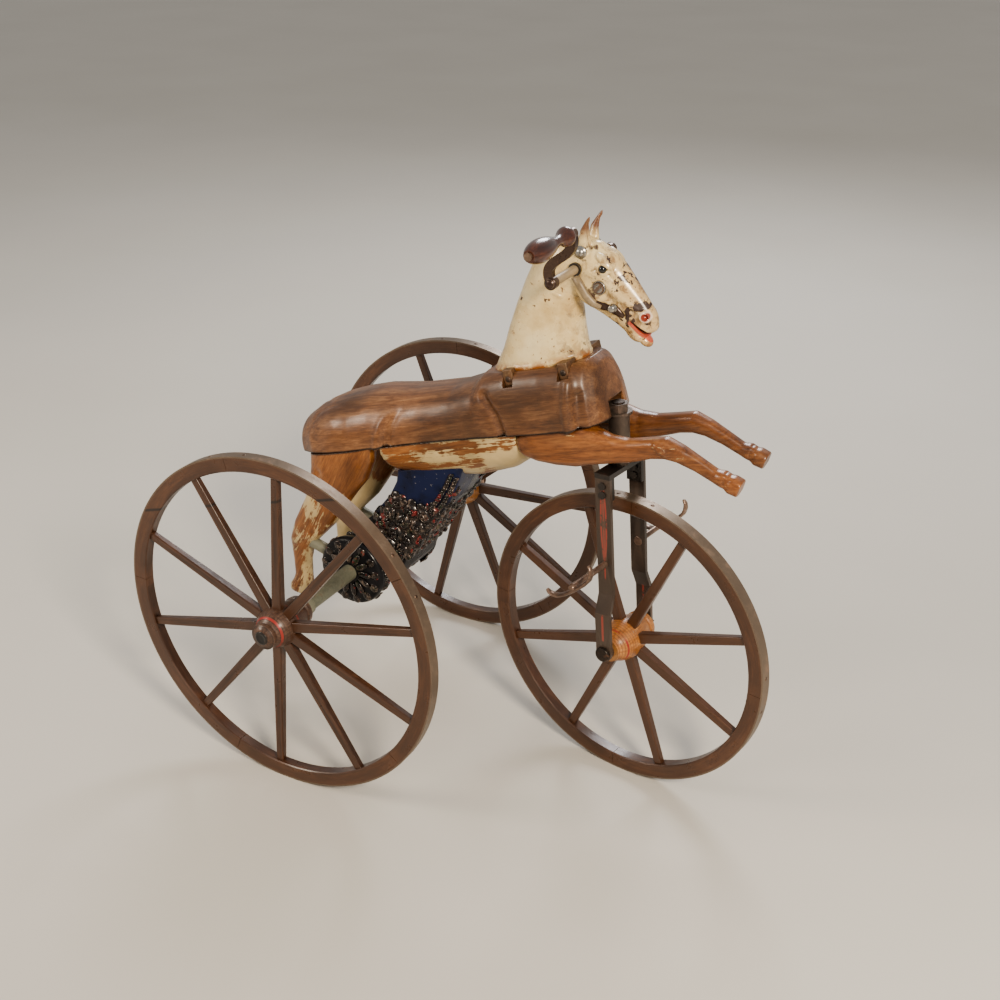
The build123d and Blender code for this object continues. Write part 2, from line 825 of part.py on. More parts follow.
# ---------------------------------------------------------------- chain case
with BuildPart() as case:
    with BuildSketch(side(base)):
        Polygon(*case_front, (0, rear_radius), *case_rear, align=None)
    extrude(amount=case_half_thickness, both=True)
    with BuildSketch(side(base)):
        with Locations((0, rear_radius)):
            Circle(case_drum_radius)
    extrude(amount=case_drum_half, both=True)
    with BuildSketch(side(base)):
        with BuildLine():
            Polyline(*case_front, (0, rear_radius), *case_rear, close=True)
        offset(make_face(), amount=-case_wall)
    extrude(amount=case_half_thickness - case_wall, both=True, mode=Mode.SUBTRACT)
    with BuildSketch(side(base)):
        with Locations((0, rear_radius)):
            Circle(case_drum_radius - case_wall)
    extrude(amount=case_drum_half - case_wall, both=True, mode=Mode.SUBTRACT)
    with BuildSketch(side(base)):
        with Locations((0, rear_radius)):
            Circle(axle_radius + chain_room / 4)
    extrude(amount=case_drum_half, both=True, mode=Mode.SUBTRACT)
    add(arch_loft(belly_sections, -1), mode=Mode.SUBTRACT)
    with BuildSketch(level(body, seam_height - seam_gap - 40)):
        Rectangle(4 * track, 2 * track)
    extrude(amount=2 * seat_height, mode=Mode.SUBTRACT)
    with BuildSketch(side(base)):
        Rectangle(4 * track, 4 * track)
    extrude(amount=seam_gap / 2, both=True, mode=Mode.SUBTRACT)
case_right = Compound(children=[solid for solid in case.solids() if solid.center().Y < 0])
case_left = Compound(children=[solid for solid in case.solids() if solid.center().Y > 0])
save(case_right, "chain_case_right")
save(case_left, "chain_case_left")

# ---------------------------------------------------------------- steering head
with BuildPart() as steering_head:
    with BuildSketch(level(straight_fork, tube_bottom)):
        Circle(head_tube_radius)
    extrude(amount=head_tube_length)
    with BuildSketch(level(body, seam_height - tongue_thickness - seam_gap)):
        with Locations((tongue_rear + tongue_reach / 2, 0)):
            Rectangle(tongue_reach, tongue_width)
    extrude(amount=tongue_thickness)
    with BuildSketch(level(straight_fork, tube_bottom)):
        Circle(stem_radius + running_clearance)
    extrude(amount=head_tube_length, mode=Mode.SUBTRACT)
    add(tongue_bores, mode=Mode.SUBTRACT)
save(steering_head.part, "steering_head")


# ---------------------------------------------------------------- neck and head
def sagittal(x, z, tilt):
    """Plane across the neck or head: local x along its depth, local y to the left."""
    return Plane(
        origin=(rear_x + x, 0, z),
        x_dir=(cos(radians(tilt)), 0, sin(radians(tilt))),
        z_dir=(-sin(radians(tilt)), 0, cos(radians(tilt))),
    )


seat_middle = (neck_seat_rear + neck_seat_front) / 2
seat_half = (neck_seat_front - neck_seat_rear) / 2


def neck_loft(inset, lift):
    """The neck from its seat upward, all sections drawn in by the inset."""
    with BuildPart() as neck:
        with BuildSketch(level(body, seam_height + seat_height + lift)):
            with Locations((seat_middle, 0)):
                Ellipse(seat_half - inset, neck_base_width - inset)
        for x, z, depth, width, tilt in neck_sections:
            with BuildSketch(sagittal(x, z, tilt)):
                Ellipse(depth - inset, width - inset)
        loft()
    return neck.part


poll_axis = Axis((rear_x + poll_pivot[0], 0, poll_pivot[1]), (0, 1, 0))
with BuildPart() as poll:
    x, z, depth, width, tilt = neck_sections[-1]
    with BuildSketch(sagittal(x, z, tilt)):
        Ellipse(depth, width)
    revolve(axis=poll_axis, revolution_arc=poll_turn)

with BuildPart() as head_block:
    for x, z, depth, width, tilt in head_sections:
        with BuildSketch(sagittal(x, z, tilt)):
            Ellipse(depth, width)
    loft()

# Cone-shaped ears.
with BuildPart() as ears:
    for direction in (1, -1):
        ear_plane = Plane(
            origin=(rear_x + ear_base[0], direction * ear_spread, ear_base[1]),
            z_dir=(ear_tip[0] - ear_base[0], 0, ear_tip[1] - ear_base[1]),
        )
        with BuildSketch(ear_plane):
            Circle(ear_radius)
        with BuildSketch(ear_plane.offset(ear_tip[1] - ear_base[1])):
            Circle(1.5)
        loft()


def cross_bores(positions, radius, half_length):
    """Rods straight across the head at the given side positions."""
    with BuildPart() as bores:
        with BuildSketch(side(base)):
            with Locations(*positions):
                Circle(radius)
        extrude(amount=half_length, both=True)
    return bores.part


def head_bolt_rods(room, reach):
    """Bolts through both castings with a flat cap at each end, grown by a working room."""
    with BuildPart() as bolts:
        for x, z, half_length in head_bolts_at:
            with BuildSketch(side(base)):
                with Locations((x, z)):
                    Circle(head_bolt_radius + room)
            extrude(amount=half_length, both=True)
            for direction in (1, -1):
                with BuildSketch(side(base, direction * (half_length - head_bolt_cap))):
                    with Locations((x, z)):
                        Circle(head_bolt_dome + room)
                extrude(amount=-direction * (reach - half_length + head_bolt_cap))
    return bolts.part


crank_centre = (crank_x, crank_z)
bush_radius = crank_shaft_radius + running_clearance + crank_bush_wall
eye_centres = [(rear_x + eye_position[0], direction * eye_half_width, eye_position[1])
               for direction in (1, -1)]
with BuildPart() as eye_sockets:
    with Locations(*eye_centres):
        Sphere(eye_radius + running_clearance)
with BuildPart() as casting:
    add(neck_loft(0, 0))
    add(poll.part)
    add(head_block.part)
    add(ears.part)
    add(lug_boxes(0))
    add(lug_boxes(0).mirror(Plane.XZ))
    add(neck_loft(neck_wall, -0.01), mode=Mode.SUBTRACT)
    with BuildSketch(side(base)):
        Polygon(mouth_corner, *mouth_lips, align=None)
    extrude(amount=neck_base_width, both=True, mode=Mode.SUBTRACT)
    for cutter in (
        passage,
        cross_bores([crank_centre], bush_radius, neck_base_width),
        cross_bores([bit_position], bit_radius + running_clearance, neck_base_width),
        head_bolt_rods(running_clearance, neck_base_width),
        eye_sockets.part,
        lug_bores,
        lug_bores.mirror(Plane.XZ),
    ):
        add(cutter, mode=Mode.SUBTRACT)
    with BuildSketch(side(base)):
        Rectangle(4 * track, 4 * track)
    extrude(amount=casting_gap / 2, both=True, mode=Mode.SUBTRACT)
for suffix, direction in (("_right", -1), ("_left", 1)):
    halves = [solid for solid in casting.solids() if solid.center().Y * direction > 0]
    save(Compound(children=halves), "head" + suffix)

with BuildPart() as eyes:
    with Locations(*eye_centres):
        Sphere(eye_radius)
save(eyes.part, "eyes")
save(cross_bores([bit_position], bit_radius, bit_half_length), "bit")

with BuildPart() as head_bolts:
    for x, z, half_length in head_bolts_at:
        with BuildSketch(side(base)):
            with Locations((x, z)):
                Circle(head_bolt_radius)
        extrude(amount=half_length, both=True)
        for direction in (1, -1):
            with BuildSketch(side(base, direction * (half_length - head_bolt_cap))):
                with Locations((x, z)):
                    Circle(head_bolt_dome)
            extrude(amount=-direction * head_bolt_cap)
save(head_bolts.part, "head_bolts")

right_screws = lug_screws(screw_radius, lug_thickness + screw_length, screw_head_height)
save(Compound(children=[right_screws, right_screws.mirror(Plane.XZ)]), "neck_screws")

with BuildPart() as crank_bush:
    with BuildSketch(side(base, -crank_bush_inner)):
        with Locations(crank_centre):
            Circle(bush_radius - running_clearance)
            Circle(crank_shaft_radius + running_clearance, mode=Mode.SUBTRACT)
    extrude(amount=crank_bush_outer - crank_bush_inner)
save(Compound(children=[crank_bush.part, crank_bush.part.mirror(Plane.XZ)]), "crank_bushes")

# ---------------------------------------------------------------- cranks and grips
arm_half = arm_thickness / 2
shaft_right = right_arm_plane + arm_half + 2
shaft_left = left_arm_plane + arm_half + 2
crank_centre_world = (rear_x + crank_x, 0, crank_z)
crank_face = Plane(origin=crank_centre_world, x_dir=(1, 0, 0), z_dir=(0, -1, 0))
pin_reach = (crank_throw * cos(radians(crank_angle)), crank_throw * sin(radians(crank_angle)))

with BuildPart() as crank_shaft:
    with BuildSketch(crank_face.offset(-shaft_left)):
        Circle(crank_shaft_radius)
    extrude(amount=shaft_left + shaft_right)
save(crank_shaft.part, "crank_shaft")


def crank_arm(plane):
    """S-shaped arm between the shaft and the grip pin."""
    reach_x, reach_z = pin_reach
    lean_x = -reach_z / crank_throw * arm_bow
    lean_z = reach_x / crank_throw * arm_bow
    with BuildPart() as arm:
        with BuildSketch(plane.offset(-arm_half)):
            with BuildLine() as centre_line:
                Spline(
                    (0, 0),
                    (reach_x * 0.3 + lean_x * 0.6, reach_z * 0.3 + lean_z * 0.6),
                    (reach_x * 0.65 - lean_x * 0.3, reach_z * 0.65 - lean_z * 0.3),
                    (reach_x, reach_z),
                )
            trace(centre_line.line, line_width=arm_width)
            Circle(arm_boss_radius)
            with Locations(pin_reach):
                Circle(arm_boss_radius - 1)
            Circle(crank_shaft_radius + running_clearance, mode=Mode.SUBTRACT)
            with Locations(pin_reach):
                Circle(spindle_radius + running_clearance, mode=Mode.SUBTRACT)
        extrude(amount=arm_thickness)
    return arm.part


def hand_grip(plane):
    """Turned grip: a ball by the arm, a neck and a pear-shaped end."""
    profile = Plane(origin=plane.origin + plane.x_dir * pin_reach[0] + plane.y_dir * pin_reach[1],
                    x_dir=plane.z_dir, z_dir=-plane.y_dir)
    start = arm_half + side_clearance
    bore = spindle_radius + running_clearance
    with BuildPart() as grip:
        with BuildSketch(profile):
            with BuildLine():
                Line((start, bore), (start, grip_neck_radius))
                Spline(
                    (start, grip_neck_radius),
                    (start + 12, grip_ball_radius),
                    (start + 26, grip_neck_radius),
                    (start + 55, grip_neck_radius + 3.5),
                    (start + 88, grip_pear_radius),
                    (start + grip_length, grip_neck_radius),
                )
                Polyline(
                    (start + grip_length, grip_neck_radius),
                    (start + grip_length, bore),
                    (start, bore),
                )
            make_face()
        revolve(axis=Axis(profile.origin, profile.x_dir))
    return grip.part


def grip_spindle(plane):
    """Steel pin through the arm and the grip, riveted over at its end."""
    with BuildPart() as spindle:
        with BuildSketch(plane.offset(-arm_half)):
            with Locations(pin_reach):
                Circle(spindle_radius)
        extrude(amount=arm_thickness + grip_length + 2 * side_clearance)
        with BuildSketch(plane.offset(arm_half + grip_length + 2 * side_clearance)):
            with Locations(pin_reach):
                Circle(spindle_head_radius)
        extrude(amount=spindle_head_height)
    return spindle.part


right_crank = crank_face.offset(right_arm_plane)
# The left crank stands half a turn from the right one.
left_crank = Plane(
    origin=(crank_centre_world[0], left_arm_plane, crank_z),
    x_dir=(-cos(radians(2 * crank_angle)), 0, -sin(radians(2 * crank_angle))),
    z_dir=(0, 1, 0),
)
spindles = []
for suffix, plane in (("_right", right_crank), ("_left", left_crank)):
    save(crank_arm(plane), "crank_arm" + suffix)
    save(hand_grip(plane), "grip" + suffix)
    spindles.append(grip_spindle(plane))
save(Compound(children=spindles), "grip_spindles")


# ---------------------------------------------------------------- chain drive
def sprocket(plane, teeth, pitch_radius, bore, first_tooth):
    """Toothed wheel for the ladder chain."""
    root = pitch_radius - rung_radius - link_gap
    with BuildPart() as wheel:
        with BuildSketch(plane.offset(-sprocket_thickness / 2)):
            Circle(root)
            with PolarLocations(root / 2, teeth, start_angle=first_tooth):
                with Locations(((pitch_radius + tooth_height - root / 2) / 2, 0)):
                    Rectangle(pitch_radius + tooth_height - root / 2, tooth_width)
            Circle(bore, mode=Mode.SUBTRACT)
        extrude(amount=sprocket_thickness)
    return wheel.part


crank_end = Plane(origin=drive.origin + drive.x_dir * chain_span, x_dir=drive.x_dir,
                  z_dir=drive.z_dir)
save(sprocket(crank_end, crank_teeth, crank_pitch_radius, crank_shaft_radius + running_clearance,
              180 / crank_teeth), "crank_sprocket")
save(sprocket(drive, axle_teeth, axle_pitch_radius, rear_bore, 180 / axle_teeth), "axle_sprocket")


def chain_points():
    """Rung centres round both sprockets, as drive-plane x and y."""
    points = []
    for k in range(crank_teeth // 2 + 1):
        turn = radians(90 - 360 * k / crank_teeth)
        points.append((chain_span + crank_pitch_radius * cos(turn), crank_pitch_radius * sin(turn)))
    steps = round(chain_span / chain_pitch)
    for k in range(1, steps):
        share = k / steps
        radius = crank_pitch_radius + (axle_pitch_radius - crank_pitch_radius) * share
        points.append((chain_span * (1 - share), -radius))
    for k in range(axle_teeth // 2 + 1):
        turn = radians(-90 - 360 * k / axle_teeth)
        points.append((axle_pitch_radius * cos(turn), axle_pitch_radius * sin(turn)))
    for k in range(1, steps):
        share = k / steps
        radius = axle_pitch_radius + (crank_pitch_radius - axle_pitch_radius) * share
        points.append((chain_span * share, radius))
    return points


bar_end = chain_pitch - link_height / 2 - link_gap
with BuildPart() as link:
    with BuildSketch(Plane.XY.offset(-rung_length / 2)):
        Circle(rung_radius)
    extrude(amount=rung_length)
    for bottom in (-rung_length / 2, rung_length / 2 - link_bar):
        with BuildSketch(Plane.XY.offset(bottom)):
            Circle(link_height / 2)
            with Locations((bar_end / 2, 0)):
                Rectangle(bar_end, link_height)
        extrude(amount=link_bar)
rungs = chain_points()
links = []
for (x, y), (next_x, next_y) in zip(rungs, rungs[1:] + rungs[:1]):
    centre = drive.origin + drive.x_dir * x + drive.y_dir * y
    heading = drive.x_dir * (next_x - x) + drive.y_dir * (next_y - y)
    links.append(link.part.moved(Plane(origin=centre, x_dir=heading, z_dir=drive.z_dir).location))
save(Compound(children=links), "drive_chain")
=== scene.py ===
import json
import random
from math import copysign, cos, exp, hypot, pi, radians, sin

import bmesh
import bpy
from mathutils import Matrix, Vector
from mathutils.bvhtree import BVHTree

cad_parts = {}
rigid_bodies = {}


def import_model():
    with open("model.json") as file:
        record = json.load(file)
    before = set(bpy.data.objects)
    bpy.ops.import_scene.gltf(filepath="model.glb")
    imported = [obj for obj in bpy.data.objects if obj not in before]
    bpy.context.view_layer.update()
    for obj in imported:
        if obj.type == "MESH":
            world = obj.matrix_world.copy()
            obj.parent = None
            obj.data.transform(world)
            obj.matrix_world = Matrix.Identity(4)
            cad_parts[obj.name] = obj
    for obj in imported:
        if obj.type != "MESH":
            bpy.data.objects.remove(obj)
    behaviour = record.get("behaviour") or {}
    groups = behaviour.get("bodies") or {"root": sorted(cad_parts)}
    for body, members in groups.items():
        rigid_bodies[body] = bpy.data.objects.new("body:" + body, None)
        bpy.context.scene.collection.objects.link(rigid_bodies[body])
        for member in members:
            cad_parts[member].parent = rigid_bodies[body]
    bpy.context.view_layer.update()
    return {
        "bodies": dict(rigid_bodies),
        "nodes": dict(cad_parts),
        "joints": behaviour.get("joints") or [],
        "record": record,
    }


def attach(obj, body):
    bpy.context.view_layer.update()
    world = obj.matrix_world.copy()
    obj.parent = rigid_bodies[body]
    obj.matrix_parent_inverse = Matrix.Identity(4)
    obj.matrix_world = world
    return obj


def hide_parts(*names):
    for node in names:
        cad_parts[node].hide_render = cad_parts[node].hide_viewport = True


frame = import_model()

NODES = frame["nodes"]
REAR_X = -207.4037
AXLE_UP = 280
WHEEL_OUT = 281
SEAM = 472
CAST_LUGS = ((451, 46), (541, 38))
LUGS = ((451, 59), (541, 56))
HALF_GAP = 0.00015
SIDES = (("right", -1), ("left", 1))
RISE = radians(16.4)
RAKE = radians(4.0)
STEER = radians(-8.5)


# ---- places, from millimetres to metres
def at(x, y, z):
    """A point given from the rear axle's ground point, as metres in the row frame."""
    return Vector(((x + REAR_X) / 1000, y / 1000, z / 1000))


def on_body(s, y, n):
    """A point given along the rising body and above it."""
    return at(s * cos(RISE) - n * sin(RISE), y, s * sin(RISE) + n * cos(RISE))


FORK_Z = Vector((-sin(RAKE), 0, cos(RAKE)))
FORK_X = Vector((cos(RAKE) * cos(STEER), sin(STEER), sin(RAKE) * cos(STEER)))
FORK_Y = FORK_Z.cross(FORK_X)
FORK_O = at(452, 0, 244.09)


def on_fork(x, y, z):
    """A point in the turned fork's own directions, from the front axle."""
    return FORK_O + (FORK_X * x + FORK_Y * y + FORK_Z * z) / 1000


# ---- mesh pieces
def link(thing):
    """Puts a new object into the scene."""
    bpy.context.scene.collection.objects.link(thing)


def new_object(name, bm, material, body, smooth=True):
    """Turns mesh data into a piece, which rides on a body where one is given."""
    bmesh.ops.recalc_face_normals(bm, faces=bm.faces)
    mesh = bpy.data.meshes.new(name)
    bm.to_mesh(mesh)
    bm.free()
    for polygon in mesh.polygons:
        polygon.use_smooth = smooth
    piece = bpy.data.objects.new(name, mesh)
    link(piece)
    mesh.materials.append(material)
    if body:
        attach(piece, body)
    return piece


def rings(bm, sections):
    """Joins rings of points into a skin with closed ends."""
    rows = [[bm.verts.new(p) for p in section] for section in sections]
    count = len(rows[0])
    for a, b in zip(rows, rows[1:]):
        for k in range(count):
            bm.faces.new((a[k], a[(k + 1) % count], b[(k + 1) % count], b[k]))
    for row in (rows[0], rows[-1]):
        middle = bm.verts.new(sum((v.co for v in row), Vector()) / count)
        for k in range(count):
            bm.faces.new((row[k], row[(k + 1) % count], middle))


def rounded(count, power):
    """Steps once round a rounded square of half width one."""
    for k in range(count):
        turn = 2 * pi * k / count
        yield tuple(copysign(abs(v) ** (2 / power), v) for v in (cos(turn), sin(turn)))


def limb(bm, stations, count=20, power=2.0):
    """Rounded limb along stations of (x, y, z, half depth, half width)."""
    points = [Vector(station[:3]) for station in stations]
    sections = []
    for k, (x, y, z, depth, width) in enumerate(stations):
        ahead = points[min(k + 1, len(points) - 1)] - points[max(k - 1, 0)]
        ahead.normalize()
        sideways = Vector((0, 1, 0))
        up = ahead.cross(sideways).normalized()
        across = up.cross(ahead).normalized()
        ring = [points[k] + up * depth * c + across * width * s for c, s in rounded(count, power)]
        sections.append([at(*p) for p in ring])
    rings(bm, sections)


def blob(bm, x, y, z, rx, ry, rz, tilt=0.0, place=at):
    """Ellipsoid of flesh, tilted in the fore-and-aft plane."""
    made = bmesh.ops.create_icosphere(bm, subdivisions=3, radius=1.0)
    c, s = cos(radians(tilt)), sin(radians(tilt))
    for v in made["verts"]:
        px, py, pz = v.co.x * rx, v.co.y * ry, v.co.z * rz
        v.co = place(x + px * c - pz * s, y + py, z + px * s + pz * c)


def block(bm, s, y, out, n, size):
    """Square block on one side of the body, from its middle and its size."""
    made = bmesh.ops.create_cube(bm, size=1.0)
    for v in made["verts"]:
        v.co = on_body(s + v.co.x * size[0], y * (out + v.co.y * size[1]), n + v.co.z * size[2])


def baked(piece):
    """Applies a piece's modifiers to its mesh."""
    graph = bpy.context.evaluated_depsgraph_get()
    mesh = bpy.data.meshes.new_from_object(piece.evaluated_get(graph))
    old = piece.data
    piece.modifiers.clear()
    piece.data = mesh
    bpy.data.meshes.remove(old)


def sculpt(name, bm, material, voxel, smooth, cutters=()):
    """Melts overlapping shapes into one skin, then cuts and softens it."""
    piece = new_object(name, bm, material, None)
    melt = piece.modifiers.new("melt", "REMESH")
    melt.mode = "VOXEL"
    melt.voxel_size = voxel
    soft = piece.modifiers.new("soft", "SMOOTH")
    soft.factor = 0.5
    soft.iterations = smooth
    for cutter in cutters:
        cut = piece.modifiers.new("cut", "BOOLEAN")
        cut.operation = "DIFFERENCE"
        cut.object = cutter
        cut.solver = "EXACT"
    baked(piece)
    for cutter in cutters:
        bpy.data.objects.remove(cutter)
    for polygon in piece.data.polygons:
        polygon.use_smooth = True
    return piece


def trim(piece, point, normal):
    """Cuts away what lies on the normal's side of a plane and closes the cut."""
    bm = bmesh.new()
    bm.from_mesh(piece.data)
    geometry = bm.verts[:] + bm.edges[:] + bm.faces[:]
    cut = bmesh.ops.bisect_plane(bm, geom=geometry, plane_co=point, plane_no=normal, clear_outer=True)
    edges = [e for e in cut["geom_cut"] if isinstance(e, bmesh.types.BMEdge)]
    bmesh.ops.holes_fill(bm, edges=edges, sides=0)
    filled = [f for f in bm.faces if len(f.verts) > 4]
    for face in filled:
        face.smooth = False
    bm.to_mesh(piece.data)
    bm.free()


def halves(piece, name):
    """Splits a piece down the middle, into its right and left half with their side and sign."""
    left = piece.copy()
    left.data = piece.data.copy()
    left.name = name + "_left"
    link(left)
    piece.name = name + "_right"
    for half, y in ((piece, -1), (left, 1)):
        trim(half, Vector((0, y * HALF_GAP, 0)), Vector((0, -y, 0)))
    return (piece, "right", -1), (left, "left", 1)


def line(place, y, points, width, depth):
    """One line for carve: width and depth are in metres, and a depth below zero makes a ridge."""
    return [place(x, y * out, z) for x, out, z in points], width, depth


def carve(piece, lines):
    """Presses grooves or raises ridges along lines of points."""
    mesh = piece.data
    normals = [v.normal.copy() for v in mesh.vertices]
    for v, normal in zip(mesh.vertices, normals):
        shift = 0.0
        for points, width, depth in lines:
            near = min(segment_distance(v.co, a, b) for a, b in zip(points, points[1:]))
            if near < 3 * width:
                shift -= depth * exp(-((near / width) ** 2))
        if shift:
            v.co += normal * shift


def segment_distance(p, a, b):
    """Distance from a point to a straight segment."""
    line = b - a
    share = max(0.0, min(1.0, (p - a).dot(line) / max(line.length_squared, 1e-12)))
    return (p - (a + line * share)).length


# ---- material nodes
class Nodes:
    """Short names for building one material."""

    def __init__(self, name):
        self.material = bpy.data.materials.new(name)
        self.material.use_nodes = True
        self.tree = self.material.node_tree
        self.shader = self.tree.nodes["Principled BSDF"]
        self.place = self.add("ShaderNodeTexCoord").outputs["Object"]

    def add(self, kind, **values):
        node = self.tree.nodes.new(kind)
        for key, value in values.items():
            setattr(node, key, value)
        return node

    def put(self, socket, value):
        """Links a socket, or sets a number or an RGB colour."""
        if isinstance(value, bpy.types.NodeSocket):
            self.tree.links.new(value, socket)
        else:
            socket.default_value = (*value, 1.0) if isinstance(value, tuple) else value

    def math(self, operation, a, b=0.0):
        node = self.add("ShaderNodeMath", operation=operation)
        self.put(node.inputs[0], a)
        self.put(node.inputs[1], b)
        return node.outputs[0]

    def times(self, a, b):
        return self.math("MULTIPLY", a, b)

    def plus(self, a, b):
        return self.math("ADD", a, b)

    def dot(self, direction, origin=(0, 0, 0)):
        """Distance of the surface point along a direction from an origin, in metres."""
        node = self.add("ShaderNodeVectorMath", operation="DOT_PRODUCT")
        self.put(node.inputs[0], self.place)
        node.inputs[1].default_value = direction
        return self.math("SUBTRACT", node.outputs["Value"], Vector(direction).dot(Vector(origin)))

    def vector(self, x, y, z):
        node = self.add("ShaderNodeCombineXYZ")
        for socket, value in zip(node.inputs, (x, y, z)):
            self.put(socket, value)
        return node.outputs[0]

    def stretched(self, along, cross, up, origin, pull):
        """Coordinates drawn out along one direction, for grain."""
        a = self.times(self.dot(along, origin), pull)
        return self.vector(a, self.dot(cross, origin), self.dot(up, origin))

    def polar(self, axis, forward, up, origin, round_pull, out_pull):
        """Coordinates that run round an axle: way round, distance out and along it."""
        x, z = self.dot(forward, origin), self.dot(up, origin)
        turn = self.times(self.math("ARCTAN2", z, x), round_pull)
        out = self.math("SQRT", self.plus(self.times(x, x), self.times(z, z)))
        return self.vector(turn, self.times(out, out_pull), self.dot(axis, origin))

    def noise(self, scale, detail=4.0, rough=0.5, bend=0.0, where=None):
        node = self.add("ShaderNodeTexNoise")
        self.put(node.inputs["Vector"], where or self.place)
        node.inputs["Scale"].default_value = scale
        node.inputs["Detail"].default_value = detail
        node.inputs["Roughness"].default_value = rough
        node.inputs["Distortion"].default_value = bend
        return node.outputs["Fac"]

    def span(self, value, low, high, to_low=0.0, to_high=1.0):
        node = self.add("ShaderNodeMapRange", clamp=True)
        self.put(node.inputs[0], value)
        for socket, number in zip(node.inputs[1:5], (low, high, to_low, to_high)):
            socket.default_value = number
        return node.outputs[0]

    def band(self, value, middle, half, soft):
        """One inside a band about the middle value, nothing outside it."""
        off = self.math("ABSOLUTE", self.math("SUBTRACT", value, middle))
        return self.span(off, half + soft, half)

    def mix(self, share, a, b, kind="MIX"):
        node = self.add("ShaderNodeMix", data_type="RGBA", blend_type=kind)
        self.put(node.inputs[0], share)
        for socket, value in ((node.inputs[6], a), (node.inputs[7], b)):
            self.put(socket, value)
        return node.outputs[2]

    def ramp(self, value, *stops):
        node = self.add("ShaderNodeValToRGB")
        self.put(node.inputs[0], value)
        while len(node.color_ramp.elements) < len(stops):
            node.color_ramp.elements.new(0.5)
        for element, (place, colour) in zip(node.color_ramp.elements, stops):
            element.position = place
            element.color = (*colour, 1.0)
        return node.outputs[0]

    def edges(self, low, high):
        """Rises on sharp outside edges, or in creases where low is the larger number."""
        return self.span(self.add("ShaderNodeNewGeometry").outputs["Pointiness"], low, high)

    def bump(self, height, strength, distance=0.001):
        node = self.add("ShaderNodeBump")
        node.inputs["Strength"].default_value = strength
        node.inputs["Distance"].default_value = distance
        self.put(node.inputs["Height"], height)
        self.tree.links.new(node.outputs[0], self.shader.inputs["Normal"])

    def done(self, colour, rough, metal=0.0, coat=0.0, coat_rough=0.2, specular=0.5):
        self.put(self.shader.inputs["Base Color"], colour)
        self.put(self.shader.inputs["Roughness"], rough)
        self.put(self.shader.inputs["Metallic"], metal)
        self.shader.inputs["Coat Weight"].default_value = coat
        self.shader.inputs["Coat Roughness"].default_value = coat_rough
        self.shader.inputs["Specular IOR Level"].default_value = specular
        return self.material


def wood(name, grain, tones, dirt_and_shade_tone=(0.02, 0.01, 0.005), dirt_amount=0.5, rough=(0.3, 0.55), coat=0.3,
         relief=0.35, paint=None, below=None):
    """Old varnished or bare wood, with painted shade darkening its creases. grain gives drawn-out
    coordinates.

    paint is (colour, low, high), left in streaks, and below is the height it stays under.
    """
    n = Nodes(name)
    where = grain(n)
    fine = n.noise(420, 5, 0.65, where=where)
    broad = n.noise(55, 5, 0.6, 1.2, where=where)
    patch = n.noise(9, 4, 0.55)
    value = n.plus(n.times(fine, 0.45), n.times(broad, 0.55))
    colour = n.ramp(value, (0.34, tones[0]), (0.5, tones[1]), (0.66, tones[2]))
    stain = n.times(n.span(patch, 0.42, 0.66), dirt_amount)
    colour = n.mix(stain, colour, dirt_and_shade_tone)
    # darkens the creases towards the dark tone: painted shade
    colour = n.mix(n.times(n.edges(0.49, 0.42), 0.8), colour, dirt_and_shade_tone)
    scratch = n.span(n.noise(140, 3, 0.7, 2.0), 0.63, 0.68)
    colour = n.mix(n.times(scratch, 0.35), colour, dirt_and_shade_tone)
    colour = n.mix(n.times(n.edges(0.53, 0.62), 0.45), colour, tones[2])
    joint = n.band(n.dot(BODY_N, at(0, 0, 0)), 0.4719, 0.0009, 0.0022)
    gloss = n.span(n.noise(30, 4, 0.6), 0.35, 0.7, *rough)
    height = value
    if paint:
        tone, low, high = paint
        streak = n.noise(38, 6, 0.66, 0.5, where=where)
        flake = n.plus(n.times(n.noise(11, 5, 0.62), 0.45),
                       n.plus(n.times(streak, 0.4), n.times(fine, 0.15)))
        cover = n.span(flake, low, high)
        if below:
            cover = n.times(cover, n.span(n.dot((0, 0, 1)), below, below - 0.03))
        shade = n.mix(n.span(n.noise(12, 4), 0.4, 0.7), tone, tuple(0.55 * v for v in tone))
        colour = n.mix(cover, colour, shade)
        height = n.plus(height, n.times(cover, 0.6))
    colour = n.mix(n.times(joint, 0.9), colour, (0.008, 0.004, 0.003))
    n.bump(height, relief, 0.0012)
    return n.done(colour, gloss, coat=coat, coat_rough=0.28)


def iron(name, tones, metal=0.6, rough=(0.35, 0.65), relief=0.3, rust=(0.16, 0.06, 0.025),
         rust_low=0.55, rust_high=0.72, coat=0.0):
    """Old iron: painted or bare, with rust in patches and bright worn edges."""
    n = Nodes(name)
    broad = n.noise(18, 5, 0.6)
    fine = n.noise(260, 4, 0.65)
    value = n.plus(n.times(broad, 0.6), n.times(fine, 0.4))
    colour = n.ramp(value, (0.35, tones[0]), (0.55, tones[1]), (0.7, tones[2]))
    bloom = n.span(n.noise(48, 6, 0.7, 0.5), rust_low, rust_high)
    colour = n.mix(n.times(bloom, 0.85), colour, rust)
    worn = n.edges(0.53, 0.63)
    colour = n.mix(n.times(worn, 0.7), colour, tones[2])
    shine = n.times(n.math("SUBTRACT", 1.0, bloom), metal)
    gloss = n.span(n.plus(value, n.times(bloom, 0.3)), 0.35, 0.85, *rough)
    n.bump(n.plus(value, n.times(bloom, 0.5)), relief, 0.0008)
    return n.done(colour, gloss, metal=shine, coat=coat, coat_rough=0.2)


# ---- grain directions
BODY_N = Vector((-sin(RISE), 0, cos(RISE)))
SIDE_Y = Vector((0, 1, 0))
AHEAD = Vector((1, 0, 0))
UP = Vector((0, 0, 1))
ROUND_RIM = (0.03, 1.0)
ALONG_SPOKES = (0.6, 0.09)


